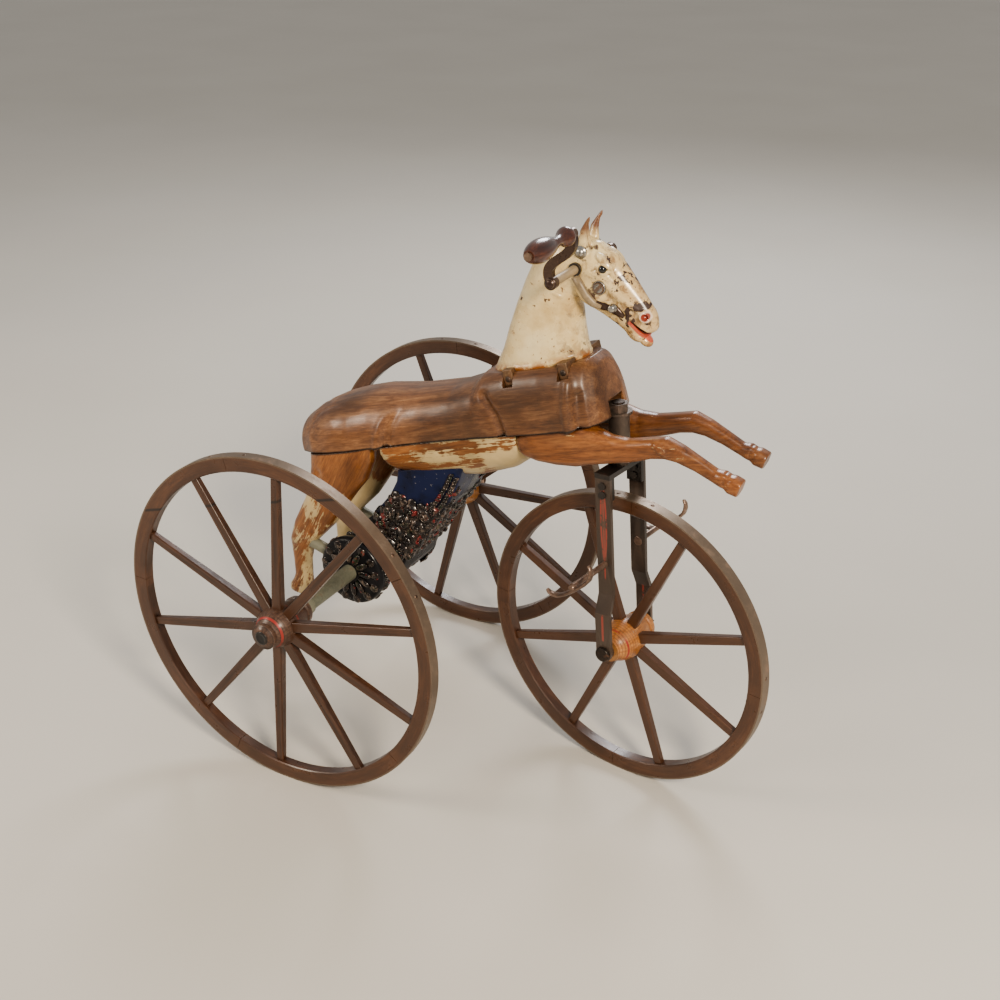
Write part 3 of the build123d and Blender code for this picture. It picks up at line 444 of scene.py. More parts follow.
def grain_along(x, z, origin, pull):
    """Grain drawn out along a direction in the fore-and-aft plane."""
    return lambda n: n.stretched(Vector((x, 0, z)), SIDE_Y, Vector((-z, 0, x)), origin, pull)


WHEELS = {
    "right_wheel": (at(0, -WHEEL_OUT, AXLE_UP), AHEAD, UP, SIDE_Y),
    "left_wheel": (at(0, WHEEL_OUT, AXLE_UP), AHEAD, UP, SIDE_Y),
    "front_wheel": (FORK_O, FORK_X, FORK_Z, FORK_Y),
}

# ---- materials
TRUNK_TONES = ((0.075, 0.030, 0.014), (0.185, 0.080, 0.034), (0.34, 0.17, 0.078))
LOWER_TONES = ((0.12, 0.038, 0.011), (0.28, 0.105, 0.03), (0.43, 0.19, 0.06))
FORE_TONES = ((0.07, 0.022, 0.008), (0.22, 0.078, 0.023), (0.37, 0.155, 0.05))
WHEEL_TONES = ((0.014, 0.006, 0.0035), (0.05, 0.02, 0.010), (0.13, 0.056, 0.026))
CREAM = (0.60, 0.46, 0.24)

along_body = grain_along(cos(RISE), sin(RISE), at(0, 0, 0), 0.09)
trunk_wood = wood("old_varnished_wood", along_body, TRUNK_TONES, coat=0.25, rough=(0.32, 0.56),
                  dirt_amount=0.62, relief=0.3)
belly_wood = wood("flaking_belly", along_body, LOWER_TONES, coat=0.2, paint=(CREAM, 0.518, 0.532))
foreleg_wood = wood("worn_foreleg", grain_along(0.97, 0.24, at(380, 0, 570), 0.1), FORE_TONES, coat=0.4,
                    rough=(0.28, 0.5), paint=(CREAM, 0.585, 0.60))
hind_leg_wood = wood("worn_hind_leg", grain_along(0.45, 0.89, at(-60, 0, 400), 0.1), LOWER_TONES,
                     paint=(CREAM, 0.49, 0.51), below=0.425)
grip_wood = wood("varnished_grip", lambda n: n.stretched(SIDE_Y, AHEAD, UP, (0, 0, 0), 0.1),
                 ((0.02, 0.006, 0.004), (0.055, 0.016, 0.01), (0.12, 0.04, 0.02)), coat=0.8,
                 rough=(0.15, 0.3), relief=0.1, dirt_amount=0.3)
black_iron = iron("worn_black_iron", ((0.008, 0.008, 0.009), (0.02, 0.018, 0.017), (0.05, 0.042, 0.036)),
                  metal=0.35, rough=(0.3, 0.5), rust_low=0.62, rust_high=0.78, coat=0.3)
rod_paint = iron("rubbed_cream_rod", ((0.13, 0.095, 0.055), (0.26, 0.195, 0.12), (0.40, 0.31, 0.20)),
                 metal=0.1, rough=(0.38, 0.58), rust_low=0.56)
arm_iron = iron("brown_arm_iron", ((0.02, 0.010, 0.008), (0.06, 0.033, 0.024), (0.13, 0.085, 0.062)),
                metal=0.5, rough=(0.26, 0.45), rust_low=0.6, coat=0.2)
lug_iron = iron("rusty_cream_lug", ((0.055, 0.03, 0.018), (0.15, 0.085, 0.045), (0.34, 0.24, 0.13)),
                metal=0.2, rust_low=0.5)
dark_iron = iron("dark_iron", ((0.03, 0.024, 0.02), (0.07, 0.052, 0.042), (0.15, 0.12, 0.10)), metal=0.7)
bare_iron = iron("bare_iron", ((0.12, 0.078, 0.058), (0.25, 0.17, 0.13), (0.42, 0.32, 0.25)), metal=0.6,
                 rough=(0.28, 0.5), rust_low=0.6)
tyre_iron = iron("tyre_iron", ((0.05, 0.033, 0.025), (0.12, 0.083, 0.06), (0.26, 0.2, 0.15)), metal=0.6,
                 rough=(0.32, 0.6))
tube_paint = iron("grey_green_paint", ((0.11, 0.115, 0.085), (0.19, 0.19, 0.14), (0.28, 0.27, 0.20)),
                  metal=0.15, rough=(0.35, 0.6), rust_low=0.56)
bolt_iron = iron("rusty_bolt", ((0.05, 0.03, 0.022), (0.12, 0.075, 0.05), (0.28, 0.2, 0.15)), metal=0.7)
bright_steel = iron("rubbed_steel", ((0.22, 0.2, 0.18), (0.4, 0.38, 0.35), (0.6, 0.58, 0.54)), metal=0.95,
                    rough=(0.22, 0.42), rust_low=0.66)
chain_steel = iron("oily_chain", ((0.03, 0.025, 0.02), (0.09, 0.07, 0.055), (0.2, 0.16, 0.13)), metal=0.85)
bush_brass = iron("dull_brass", ((0.2, 0.13, 0.05), (0.42, 0.29, 0.12), (0.6, 0.44, 0.2)), metal=0.9,
                  rust=(0.08, 0.05, 0.02))


def wheel_material(name, wheel, pulls, share=1.0):
    """Dark old wheel wood with its grain round the rim or along the spokes."""
    centre, forward, up, axis = WHEELS[wheel]
    tones = [tuple(v * share for v in tone) for tone in WHEEL_TONES]
    return wood(name, lambda n: n.polar(axis, forward, up, centre, *pulls), tones, rough=(0.26, 0.5),
                relief=0.3)


def hub_material(name, wheel, tones, lines):
    """Turned hub with fine grooves and painted rings. lines holds (place, half width, colour)."""
    centre, forward, up, axis = WHEELS[wheel]
    n = Nodes(name)
    place = n.dot(axis, centre)
    fine = n.noise(300, 5, 0.6, where=n.stretched(axis, forward, up, centre, 0.12))
    broad = n.noise(26, 5, 0.6)
    value = n.plus(n.times(fine, 0.5), n.times(broad, 0.5))
    colour = n.ramp(value, (0.36, tones[0]), (0.52, tones[1]), (0.68, tones[2]))
    turned = n.math("SINE", n.times(place, 1400.0))
    groove = n.span(turned, 0.75, 1.0)
    colour = n.mix(n.times(groove, 0.6), colour, (0.02, 0.01, 0.006))
    for middle, half, tone in lines:
        ring = n.times(n.band(place, middle, half, 0.0006), n.span(broad, 0.36, 0.5))
        colour = n.mix(ring, colour, tone)
    colour = n.mix(n.times(n.edges(0.53, 0.6), 0.4), colour, tones[2])
    n.bump(n.math("SUBTRACT", value, groove), 0.45, 0.001)
    return n.done(colour, n.span(fine, 0.35, 0.65, 0.3, 0.55), coat=0.35, coat_rough=0.25)


def striped_fork():
    """Black worn paint with thin red lines down the legs."""
    n = Nodes("striped_fork_paint")
    broad = n.noise(16, 5, 0.6)
    fine = n.noise(240, 4, 0.65)
    value = n.plus(n.times(broad, 0.5), n.times(fine, 0.5))
    colour = n.ramp(value, (0.35, (0.006, 0.006, 0.007)), (0.6, (0.016, 0.014, 0.014)),
                    (0.75, (0.045, 0.036, 0.03)))
    x, y, z = (n.dot(d, FORK_O) for d in (FORK_X, FORK_Y, FORK_Z))
    flaked = n.span(n.noise(60, 5, 0.7), 0.40, 0.48)
    bow = n.math("POWER", n.math("ABSOLUTE", n.math("SUBTRACT", z, 0.215)), 2.0)
    out = n.plus(n.math("ABSOLUTE", x), bow)
    stripe = n.times(n.band(out, 0.0045, 0.0012, 0.0006), n.band(z, 0.215, 0.058, 0.004))
    second = n.times(n.band(x, 0.0, 0.0009, 0.0006), n.band(z, 0.20, 0.075, 0.004))
    low = n.times(n.band(x, 0.0, 0.0016, 0.0006), n.band(z, 0.045, 0.022, 0.002))
    outside = n.times(n.span(n.math("ABSOLUTE", y), 0.0465, 0.0475), flaked)
    for mask in (stripe, second, low):
        colour = n.mix(n.times(mask, outside), colour, (0.40, 0.03, 0.022))
    rust = n.span(n.noise(40, 6, 0.7), 0.62, 0.74)
    colour = n.mix(rust, colour, (0.10, 0.045, 0.025))
    worn = n.edges(0.54, 0.63)
    colour = n.mix(n.times(worn, 0.55), colour, (0.16, 0.11, 0.08))
    n.bump(n.plus(value, rust), 0.3, 0.0008)
    return n.done(colour, n.span(value, 0.35, 0.7, 0.28, 0.5), metal=0.2, coat=0.35, coat_rough=0.22)


def horse_paint():
    """Aged cream enamel on cast metal: chips, grime, painted shade in the creases, a rusty foot, brown ears
    and a red mouth.
    """
    n = Nodes("aged_cream_enamel")
    x = n.dot((1, 0, 0), at(0, 0, 0))
    z = n.dot((0, 0, 1), at(0, 0, 0))
    foot = n.dot(BODY_N, at(0, 0, 0))
    forward = n.span(x, 0.335, 0.40)
    broad = n.noise(16, 5, 0.6)
    colour = n.ramp(broad, (0.3, (0.56, 0.40, 0.18)), (0.5, (0.72, 0.57, 0.31)), (0.72, (0.80, 0.68, 0.43)))
    muzzle = n.span(x, 0.39, 0.46)
    colour = n.mix(n.times(muzzle, 0.5), colour, (0.46, 0.27, 0.11))
    mottle = n.times(n.span(n.noise(70, 6, 0.7, 0.6), 0.5, 0.62), n.span(x, 0.33, 0.42, 0.1, 0.75))
    colour = n.mix(mottle, colour, (0.20, 0.095, 0.035))
    speck = n.noise(135, 3, 0.55, 0.3)
    wide = n.noise(46, 5, 0.62, 0.4)
    chips = n.math("MAXIMUM", n.span(speck, 0.70, 0.715), n.span(wide, 0.69, 0.70))
    more = n.times(forward, n.span(wide, 0.585, 0.60))
    chips = n.math("MAXIMUM", chips, more)
    halo = n.math("MAXIMUM", n.span(speck, 0.64, 0.70), n.span(wide, 0.62, 0.69))
    colour = n.mix(n.times(halo, 0.5), colour, (0.42, 0.20, 0.06))
    colour = n.mix(chips, colour, (0.045, 0.02, 0.012))
    rusty_foot = n.times(n.span(foot, 0.575, 0.564), n.span(n.noise(60, 5, 0.7), 0.38, 0.55))
    colour = n.mix(rusty_foot, colour, (0.30, 0.11, 0.03))
    # darkens the creases towards dark brown: painted shade
    colour = n.mix(n.times(n.edges(0.492, 0.44), 0.85), colour, (0.07, 0.03, 0.014))
    ears = n.times(n.span(z, 0.868, 0.884), 0.9)
    colour = n.mix(ears, colour, (0.14, 0.045, 0.02))
    # black inside the mouth, a red lower lip and red nostrils with a pale rim
    along = n.span(n.dot((0.81, 0, -0.59), at(443, 0, 764)), 0.0, 0.003)
    above = n.dot((0.48, 0, 0.877), at(443, 0, 764))
    under = n.dot((-0.64, 0, -0.77), at(443, 0, 764))
    inside = n.times(n.times(n.span(above, 0.0016, 0.0008), n.span(under, 0.0008, 0.0)), along)
    colour = n.mix(inside, colour, (0.012, 0.005, 0.004))
    lip = n.times(n.band(under, 0.0022, 0.0026, 0.0008), along)
    colour = n.mix(n.times(lip, 0.9), colour, (0.52, 0.085, 0.05))
    a, b = n.dot((1, 0, 0), at(467, 0, 772)), n.dot((0, 0, 1), at(467, 0, 772))
    away = n.math("SQRT", n.plus(n.times(a, a), n.times(b, b)))
    flank = n.span(n.math("ABSOLUTE", n.dot((0, 1, 0))), 0.007, 0.009)
    colour = n.mix(n.times(n.span(away, 0.0085, 0.0075), flank), colour, (0.70, 0.55, 0.42))
    colour = n.mix(n.times(n.span(away, 0.006, 0.005), flank), colour, (0.32, 0.07, 0.045))
    n.bump(n.math("SUBTRACT", n.times(fine_of(n), 0.3), chips), 0.5, 0.001)
    gloss = n.span(n.plus(n.times(broad, 0.5), chips), 0.15, 1.1, 0.24, 0.6)
    return n.done(colour, gloss, coat=0.5, coat_rough=0.18)


def fine_of(n):
    return n.noise(240, 4, 0.6)


def case_paint():
    """Blue-black japanning with fine pale specks."""
    n = Nodes("blue_black_japan")
    broad = n.noise(20, 5, 0.6)
    blue = n.span(n.dot(BODY_N, at(0, 0, 0)), 0.352, 0.372)
    colour = n.mix(n.times(blue, n.span(broad, 0.3, 0.5)), (0.007, 0.007, 0.009), (0.010, 0.016, 0.055))
    speck = n.span(n.noise(190, 2, 0.5), 0.70, 0.73)
    colour = n.mix(n.times(speck, 0.7), colour, (0.32, 0.30, 0.27))
    worn = n.edges(0.53, 0.6)
    colour = n.mix(n.times(worn, 0.25), colour, (0.10, 0.06, 0.04))
    n.bump(n.plus(broad, n.times(fine_of(n), 0.3)), 0.25, 0.001)
    return n.done(colour, n.span(broad, 0.3, 0.7, 0.22, 0.45), specular=0.3)


def rose_paint():
    """Blackened cast roses with rubbed silver-brown patches, partly wear and partly painted highlights, and
    traces of red and green.
    """
    n = Nodes("blackened_roses")
    broad = n.noise(34, 5, 0.6)
    fine = n.noise(260, 4, 0.65)
    colour = n.ramp(broad, (0.35, (0.006, 0.005, 0.005)), (0.55, (0.016, 0.010, 0.008)),
                    (0.7, (0.04, 0.025, 0.018)))
    red = n.span(n.noise(75, 2, 0.5), 0.61, 0.66)
    colour = n.mix(n.times(red, 0.85), colour, (0.20, 0.016, 0.014))
    green = n.span(n.noise(60, 2, 0.5, 0.7), 0.64, 0.69)
    colour = n.mix(n.times(green, 0.5), colour, (0.03, 0.06, 0.02))
    # pale silver-brown patches: rubbed wear together with painted highlights
    worn = n.span(n.noise(120, 4, 0.6, 0.2), 0.52, 0.62)
    colour = n.mix(n.times(worn, n.span(fine, 0.4, 0.6, 0.1, 0.7)), colour, (0.26, 0.19, 0.15))
    n.bump(n.plus(broad, fine), 0.3, 0.0008)
    return n.done(colour, n.span(fine, 0.3, 0.7, 0.16, 0.34), metal=0.35, coat=0.5, coat_rough=0.12)


def eye_paint():
    n = Nodes("glossy_eye")
    n.bump(fine_of(n), 0.05, 0.0004)
    return n.done(n.mix(n.span(n.noise(90, 3), 0.5, 0.7), (0.004, 0.003, 0.003), (0.02, 0.01, 0.006)),
                  n.span(n.noise(60, 3), 0.3, 0.7, 0.08, 0.2), coat=0.9, coat_rough=0.06)


fork_paint = striped_fork()
head_paint = horse_paint()
japan = case_paint()
roses = rose_paint()
eye_black = eye_paint()
HUB_LIGHT = ((0.20, 0.07, 0.02), (0.40, 0.165, 0.05), (0.58, 0.29, 0.11))
HUB_DARK = ((0.03, 0.014, 0.009), (0.085, 0.042, 0.026), (0.20, 0.12, 0.08))

finishes = {}
for finish, names in (
    (trunk_wood, "trunk"), (belly_wood, "belly"), (hind_leg_wood, "hind_leg_right hind_leg_left"),
    (foreleg_wood, "foreleg_right foreleg_left"), (head_paint, "head_right head_left"),
    (eye_black, "eyes"), (bright_steel, "bit"), (bush_brass, "axle_bushes"),
    (bolt_iron, "head_bolts neck_screws wood_screws drive_pin grip_spindles"),
    (black_iron, "crank_bushes axle_nuts fork_crown fork_rivets"),
    (japan, "chain_case_right chain_case_left"), (tube_paint, "axle_tube_right axle_tube_left hock_rods"),
    (dark_iron, "steering_head rear_axle steering_stem stem_washer stem_nut front_axle front_axle_nuts "
                "left_wheel_hub_box front_wheel_hub_box"),
    (chain_steel, "drive_chain axle_sprocket crank_sprocket"),
    (fork_paint, "fork_leg_right fork_leg_left"), (bare_iron, "foot_rest_right foot_rest_left"),
    (rod_paint, "crank_shaft"), (arm_iron, "crank_arm_right crank_arm_left"),
    (grip_wood, "grip_right grip_left"),
):
    for name in names.split():
        finishes[name] = finish
RED = (0.30, 0.03, 0.02)
for wheel in WHEELS:
    finishes[wheel + "_felloes"] = wheel_material(wheel + "_rim_wood", wheel, ROUND_RIM)
    finishes[wheel + "_spokes"] = wheel_material(wheel + "_spoke_wood", wheel, ALONG_SPOKES, 0.9)
    finishes[wheel + "_tyre"] = tyre_iron
finishes["right_wheel_hub"] = hub_material("dark_turned_hub", "right_wheel", HUB_DARK,
                                           [(-0.024, 0.0012, RED), (0.012, 0.001, RED)])
nose_wood = hub_material("dark_hub_nose", "right_wheel", HUB_DARK, [])
finishes["left_wheel_hub"] = hub_material("pale_turned_hub", "left_wheel", HUB_LIGHT,
                                          [(0.024, 0.0012, RED)])
finishes["front_wheel_hub"] = hub_material("orange_turned_hub", "front_wheel", HUB_LIGHT,
                                           [(-0.03, 0.0012, RED)])
for node, finish in finishes.items():
    NODES[node].data.materials.clear()
    NODES[node].data.materials.append(finish)


# ---- trunk
def arch_ring(s, half_width, height, power, below, direction=1, count=56):
    """Ring round the body: full on the carved side of the seam, shallow beyond it."""
    return [on_body(s, half_width * c, SEAM + direction * u * (height if u > 0 else below))
            for c, u in rounded(count, power)]


TRUNK = [
    (10, 16, 18, 2.0), (16, 36, 34, 2.2), (34, 60, 50, 2.3), (66, 77, 64, 2.4), (100, 83, 72, 2.4),
    (135, 84, 76, 2.4), (180, 79, 78, 2.4), (250, 71, 72, 2.5), (330, 68, 71, 2.8), (378, 69, 78, 3.2),
    (398, 71, 91, 3.8), (440, 74, 96, 4.0), (500, 75, 96, 4.0), (545, 72, 95, 3.6), (566, 62, 92, 3.0),
    (578, 48, 80, 2.6), (583, 32, 60, 2.2),
]
bm = bmesh.new()
rings(bm, [arch_ring(s, w, h, p, 34) for s, w, h, p in TRUNK])
for y in (-1, 1):
    blob(bm, 120, y * 46, 482, 78, 38, 56, place=on_body)
    blob(bm, 496, y * 46, 488, 62, 29, 46, place=on_body)
steering_room = bmesh.new()
bmesh.ops.create_cone(steering_room, cap_ends=True, segments=48, radius1=0.0235, radius2=0.0235, depth=0.2)
for v in steering_room.verts:
    p = v.co.copy()
    v.co = FORK_O + FORK_Z * (0.298 + p.z) + Vector((p.x, p.y, 0))
cutter = new_object("steering_room", steering_room, dark_iron, None)
notches = bmesh.new()
for y in (-1, 1):
    for s, face in CAST_LUGS:
        block(notches, s, y, face + 20, 566, (17, 62, 44))
lug_room = new_object("lug_room", notches, dark_iron, None)
trunk = sculpt("carved_trunk", bm, trunk_wood, 0.0022, 6, [cutter, lug_room])
trim(trunk, on_body(0, 0, 472.2), -BODY_N)
trim(trunk, on_body(0, 0, 562), BODY_N)
grooves = []
for y in (-1, 1):
    grooves += [
        line(on_body, y, [(194, 80, 474), (209, 77, 508), (227, 70, 538)], 0.008, -0.0055),
        line(on_body, y, [(210, 80, 474), (226, 75, 506), (246, 64, 534)], 0.008, 0.0055),
        line(on_body, y, [(424, 72, 474), (420, 72, 505), (404, 66, 535)], 0.007, 0.006),
        line(on_body, y, [(536, 74, 474), (540, 73, 505), (548, 66, 540)], 0.008, -0.0055),
        line(on_body, y, [(552, 66, 474), (557, 60, 520)], 0.007, 0.005),
        line(on_body, y, [(60, 66, 520), (110, 62, 536), (160, 56, 542)], 0.012, 0.0015),
    ]
grooves.append(([on_body(6, 0, 474), on_body(40, 0, 520), on_body(90, 0, 540)], 0.006, 0.003))
carve(trunk, grooves)
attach(trunk, "frame")
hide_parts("trunk")

# ---- belly
BELLY = [
    (197, 78, 46, 2.4), (204, 77, 56, 2.4), (260, 71, 70, 2.3), (340, 67, 76, 2.3), (400, 67, 68, 2.3),
    (432, 68, 54, 2.4), (439, 67, 46, 2.5),
]
bm = bmesh.new()
rings(bm, [arch_ring(s, w, h, p, 20, direction=-1) for s, w, h, p in BELLY])
belly = sculpt("carved_belly", bm, belly_wood, 0.0026, 4)
trim(belly, on_body(0, 0, 471.7), BODY_N)
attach(belly, "frame")
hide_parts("belly")

# ---- legs
HIND = [
    (-25, 62, 505, 64, 24), (-25, 62, 480, 62, 24), (-29, 62, 455, 54, 23), (-40, 62, 430, 45, 22),
    (-53, 62, 398, 37, 20), (-72, 62, 363, 33, 18), (-101, 62, 322, 26, 16), (-114, 62, 296, 21, 15),
    (-116, 62, 262, 16, 12), (-116, 62, 232, 15, 12), (-118, 62, 218, 17, 14), (-122, 62, 207, 20, 16),
    (-123, 62, 199, 20, 16),
]
FORE = [
    (292, 46, 556, 12, 15), (300, 46, 560, 20, 22), (318, 46, 566, 29, 25), (350, 46, 574, 36, 26),
    (385, 47, 579, 36, 25), (410, 49, 581, 29, 22), (440, 51, 582, 21, 17), (470, 52, 587, 17, 15),
    (500, 52, 597, 15, 14), (524, 52, 603, 16, 15), (546, 52, 598, 13, 12.5), (573, 52, 588, 10.5, 11),
    (598, 52, 577, 9.5, 10.5), (610, 52, 575, 12, 13), (617, 52, 572, 11, 12), (622, 52, 570, 13.5, 14.5),
    (636, 52, 566, 12.5, 14),
]
for side, y in SIDES:
    bm = bmesh.new()
    limb(bm, [(x, y * off, z, depth, width) for x, off, z, depth, width in HIND], count=28, power=2.7)
    leg = sculpt("carved_hind_leg_" + side, bm, hind_leg_wood, 0.002, 4)
    trim(leg, on_body(0, 0, 471.7), BODY_N)
    carve(leg, [line(at, y, [(-118, 76, 300), (-90, 76, 318)], 0.005, -0.0025),
                line(at, y, [(-140, 62, 214), (-118, 78, 212), (-100, 62, 216)], 0.003, 0.0025),
                line(at, y, [(-60, 82, 440), (-70, 78, 380)], 0.008, 0.003)])
    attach(leg, "frame")
    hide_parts("hind_leg_" + side)
    bm = bmesh.new()
    limb(bm, [(x, y * off, z, depth, width) for x, off, z, depth, width in FORE], count=28, power=2.6)
    leg = sculpt("carved_foreleg_" + side, bm, foreleg_wood, 0.0018, 4)
    trim(leg, on_body(0, 0, 471.7), BODY_N)
    hoof = [at(614, y * 52, 588), at(613, y * 66, 575), at(610, y * 52, 562), at(613, y * 38, 575)]
    carve(leg, [(hoof + hoof[:1], 0.0022, 0.002),
                line(at, y, [(512, 66, 608), (524, 67, 600)], 0.005, -0.003),
                line(at, y, [(296, 74, 545), (306, 74, 530)], 0.006, 0.004),
                line(at, y, [(622, 66, 578), (634, 66, 572)], 0.002, 0.0012),
                line(at, y, [(560, 64, 597), (596, 62, 582)], 0.006, 0.0012),
                line(at, y, [(318, 72, 548), (380, 72, 566), (440, 68, 590)], 0.007, 0.002)])
    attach(leg, "frame")
    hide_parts("foreleg_" + side)


# ---- neck and head
def head_ring(x, z, depth, width, angle, power=2.2, count=56):
    """Ring across the neck or head: angle points to its crest or forehead."""
    angle = radians(angle)
    return [at(x + cos(angle) * (depth * c), width * s, z + sin(angle) * (depth * c))
            for c, s in rounded(count, power)]


NECK = [
    (302, 668, 80, 47, 196.4), (303, 676, 77, 47, 195), (307, 700, 66, 45, 190), (309, 729, 58, 42, 186),
    (314, 757, 51, 37, 175), (319, 783, 45, 33, 162), (325, 800, 44, 30, 147), (332, 814, 43, 28, 132),
]
PIVOT = (361.5, 781.3)
for angle in (112, 92, 72):
    NECK.append((PIVOT[0] + 44 * cos(radians(angle)), PIVOT[1] + 44 * sin(radians(angle)), 43, 27, angle))
NECK += [
    (388, 816, 43, 27, 53), (404, 803, 41, 26, 53), (420, 791, 36, 23, 52), (438, 776, 31, 19, 52),
    (452, 763, 28, 17, 52), (462, 755, 24, 17, 50), (469, 750, 17, 14, 50), (473, 747, 9, 8, 50),
]
bm = bmesh.new()
rings(bm, [head_ring(*ring) for ring in NECK])
for y in (-1, 1):
    blob(bm, 388, y * 14, 799, 30, 15, 25, -20)
    blob(bm, 404, y * 18, 843, 17, 8, 6, -35)
    blob(bm, 372, y * 14, 846, 14, 12, 12)
    blob(bm, 420, y * 16, 806, 26, 5, 5, -42)
    blob(bm, 462, y * 12, 771, 12, 8, 9, -40)
    blob(bm, 454, y * 8, 741, 12, 9, 7, -35)
    limb(bm, [(374, y * 11, 846, 10, 8), (371, y * 14, 862, 10, 8), (372, y * 17, 880, 7, 5.5),
              (377, y * 19.5, 894, 3.5, 3), (380, y * 20.5, 902, 1.2, 1.2)])
    for s, face in CAST_LUGS:
        block(bm, s, y, face - 5, 557, (15, 10, 22))
blob(bm, 470, 0, 757, 11, 13, 11, -40)
blob(bm, 446, 0, 744, 19, 12, 12, -42)
blob(bm, 463, 0, 734, 12, 11, 8, -38)
cutters = []
mouth = bmesh.new()
corner, upper, lower = (443, 764), (490, 739), (481, 731)
rings(mouth, [[at(x, y, z) for x, z in (corner, upper, lower)] for y in (-40, 40)])
cutters.append(new_object("mouth_gap", mouth, head_paint, None))
for y in (-1, 1):
    hole = bmesh.new()
    blob(hole, 467, y * 18, 772, 5.0, 6, 4.0, -40)
    cutters.append(new_object("nostril_gap", hole, head_paint, None))
head = sculpt("cast_head", bm, head_paint, 0.0014, 3, cutters)
lines = []
for y in (-1, 1):
    eye = [at(404 + 8.5 * cos(t), y * 24, 833 + 6.5 * sin(t)) for t in [k * pi / 6 for k in range(13)]]
    lines += [
        (eye, 0.0022, -0.0022),
        line(at, y, [(394, 25, 832), (388, 26, 829)], 0.0025, 0.0015),
        line(at, y, [(413, 22, 826), (420, 20, 818)], 0.0025, 0.0018),
        line(at, y, [(381, 16, 858), (378, 18, 876), (379, 20, 890)], 0.0035, 0.0035),
        line(at, y, [(330, 30, 790), (352, 28, 782), (366, 22, 776)], 0.0018, -0.0016),
        line(at, y, [(374, 22, 786), (392, 26, 778), (408, 24, 782)], 0.003, 0.0022),
        line(at, y, [(412, 22, 796), (434, 18, 783), (452, 16, 776)], 0.0035, 0.0018),
        line(at, y, [(462, 18, 780), (474, 17, 779), (477, 16, 771), (470, 17, 766)], 0.0022, -0.002),
        line(at, y, [(447, 17, 766), (466, 15, 754), (482, 12, 744)], 0.002, -0.0015),
        line(at, y, [(398, 24, 812), (418, 22, 790), (436, 19, 770)], 0.004, 0.0018),
        line(at, y, [(408, 24, 815), (430, 20, 794), (452, 16, 780)], 0.004, -0.0018),
        line(on_body, y, [(400, 10, 566), (420, 36, 566), (470, 48, 566),
          (530, 40, 566), (558, 12, 566)], 0.003, -0.0015),
    ]
carve(head, lines)
for half, side, y in halves(head, "cast_head"):
    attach(half, "frame")
    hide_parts("head_" + side)

# ---- fittings on the head
HEAD_FACE = BVHTree.FromPolygons([v.co for v in head.data.vertices], [p.vertices for p in head.data.polygons])


def cheek(x, z):
    """Half width of the head at a place on its right side."""
    hit = HEAD_FACE.ray_cast(at(x, -120, z), Vector((0, 1, 0)))[0]
    return -hit.y * 1000 if hit else 20.0


# ---- chain case and its roses
def turned(bm, origin, axis, profile, count=40):
    """Round shape about an axis, from (distance, radius) pairs in millimetres."""
    axis = axis.normalized()
    one = axis.orthogonal().normalized()
    two = axis.cross(one)
    sections = []
    for distance, radius in profile:
        middle = origin + axis * distance / 1000
        turns = [2 * pi * k / count for k in range(count)]
        sections.append([middle + (one * cos(t) + two * sin(t)) * radius / 1000 for t in turns])
    rings(bm, sections)


def prism(bm, outline, low, high):
    """Flat shape standing between two distances to the side."""
    near = [bm.verts.new(at(x, low, z)) for x, z in outline]
    far = [bm.verts.new(at(x, high, z)) for x, z in outline]
    bm.faces.new(near)
    bm.faces.new(far)
    for k in range(len(outline)):
        j = (k + 1) % len(outline)
        bm.faces.new((near[k], near[j], far[j], far[k]))


def petal(bm, middle, frame, radii):
    """Small rounded petal or leaf in its own directions."""
    made = bmesh.ops.create_icosphere(bm, subdivisions=2, radius=1.0)
    for v in made["verts"]:
        bowl = 0.35 * (v.co.x ** 2 + v.co.y ** 2)
        local = (v.co.x * radii[0], v.co.y * radii[1], (v.co.z + bowl) * radii[2])
        v.co = middle + sum((d * c / 1000 for d, c in zip(frame, local)), Vector())


def rose(bm, middle, normal, size, chance):
    """Open rose: a bud inside two rings of leaning petals."""
    one = normal.orthogonal().normalized()
    two = normal.cross(one)
    start = chance.uniform(0, 2 * pi)
    for count, reach, lean, radius in ((3, 0.18, 72, 0.34), (5, 0.58, 46, 0.50), (5, 0.92, 18, 0.50)):
        for k in range(count):
            turn = start + 2 * pi * k / count + chance.uniform(-0.15, 0.15) + reach
            out = one * cos(turn) + two * sin(turn)
            sideways = normal.cross(out)
            tilt = radians(lean + chance.uniform(-8, 8))
            face = normal * cos(tilt) + out * sin(tilt)
            rise = normal * sin(tilt) - out * cos(tilt)
            place = middle + (out * reach + normal * (0.52 - 0.4 * reach)) * size / 1000
            petal(bm, place, (sideways, rise, face), (size * radius, size * radius * 0.8, size * 0.15))


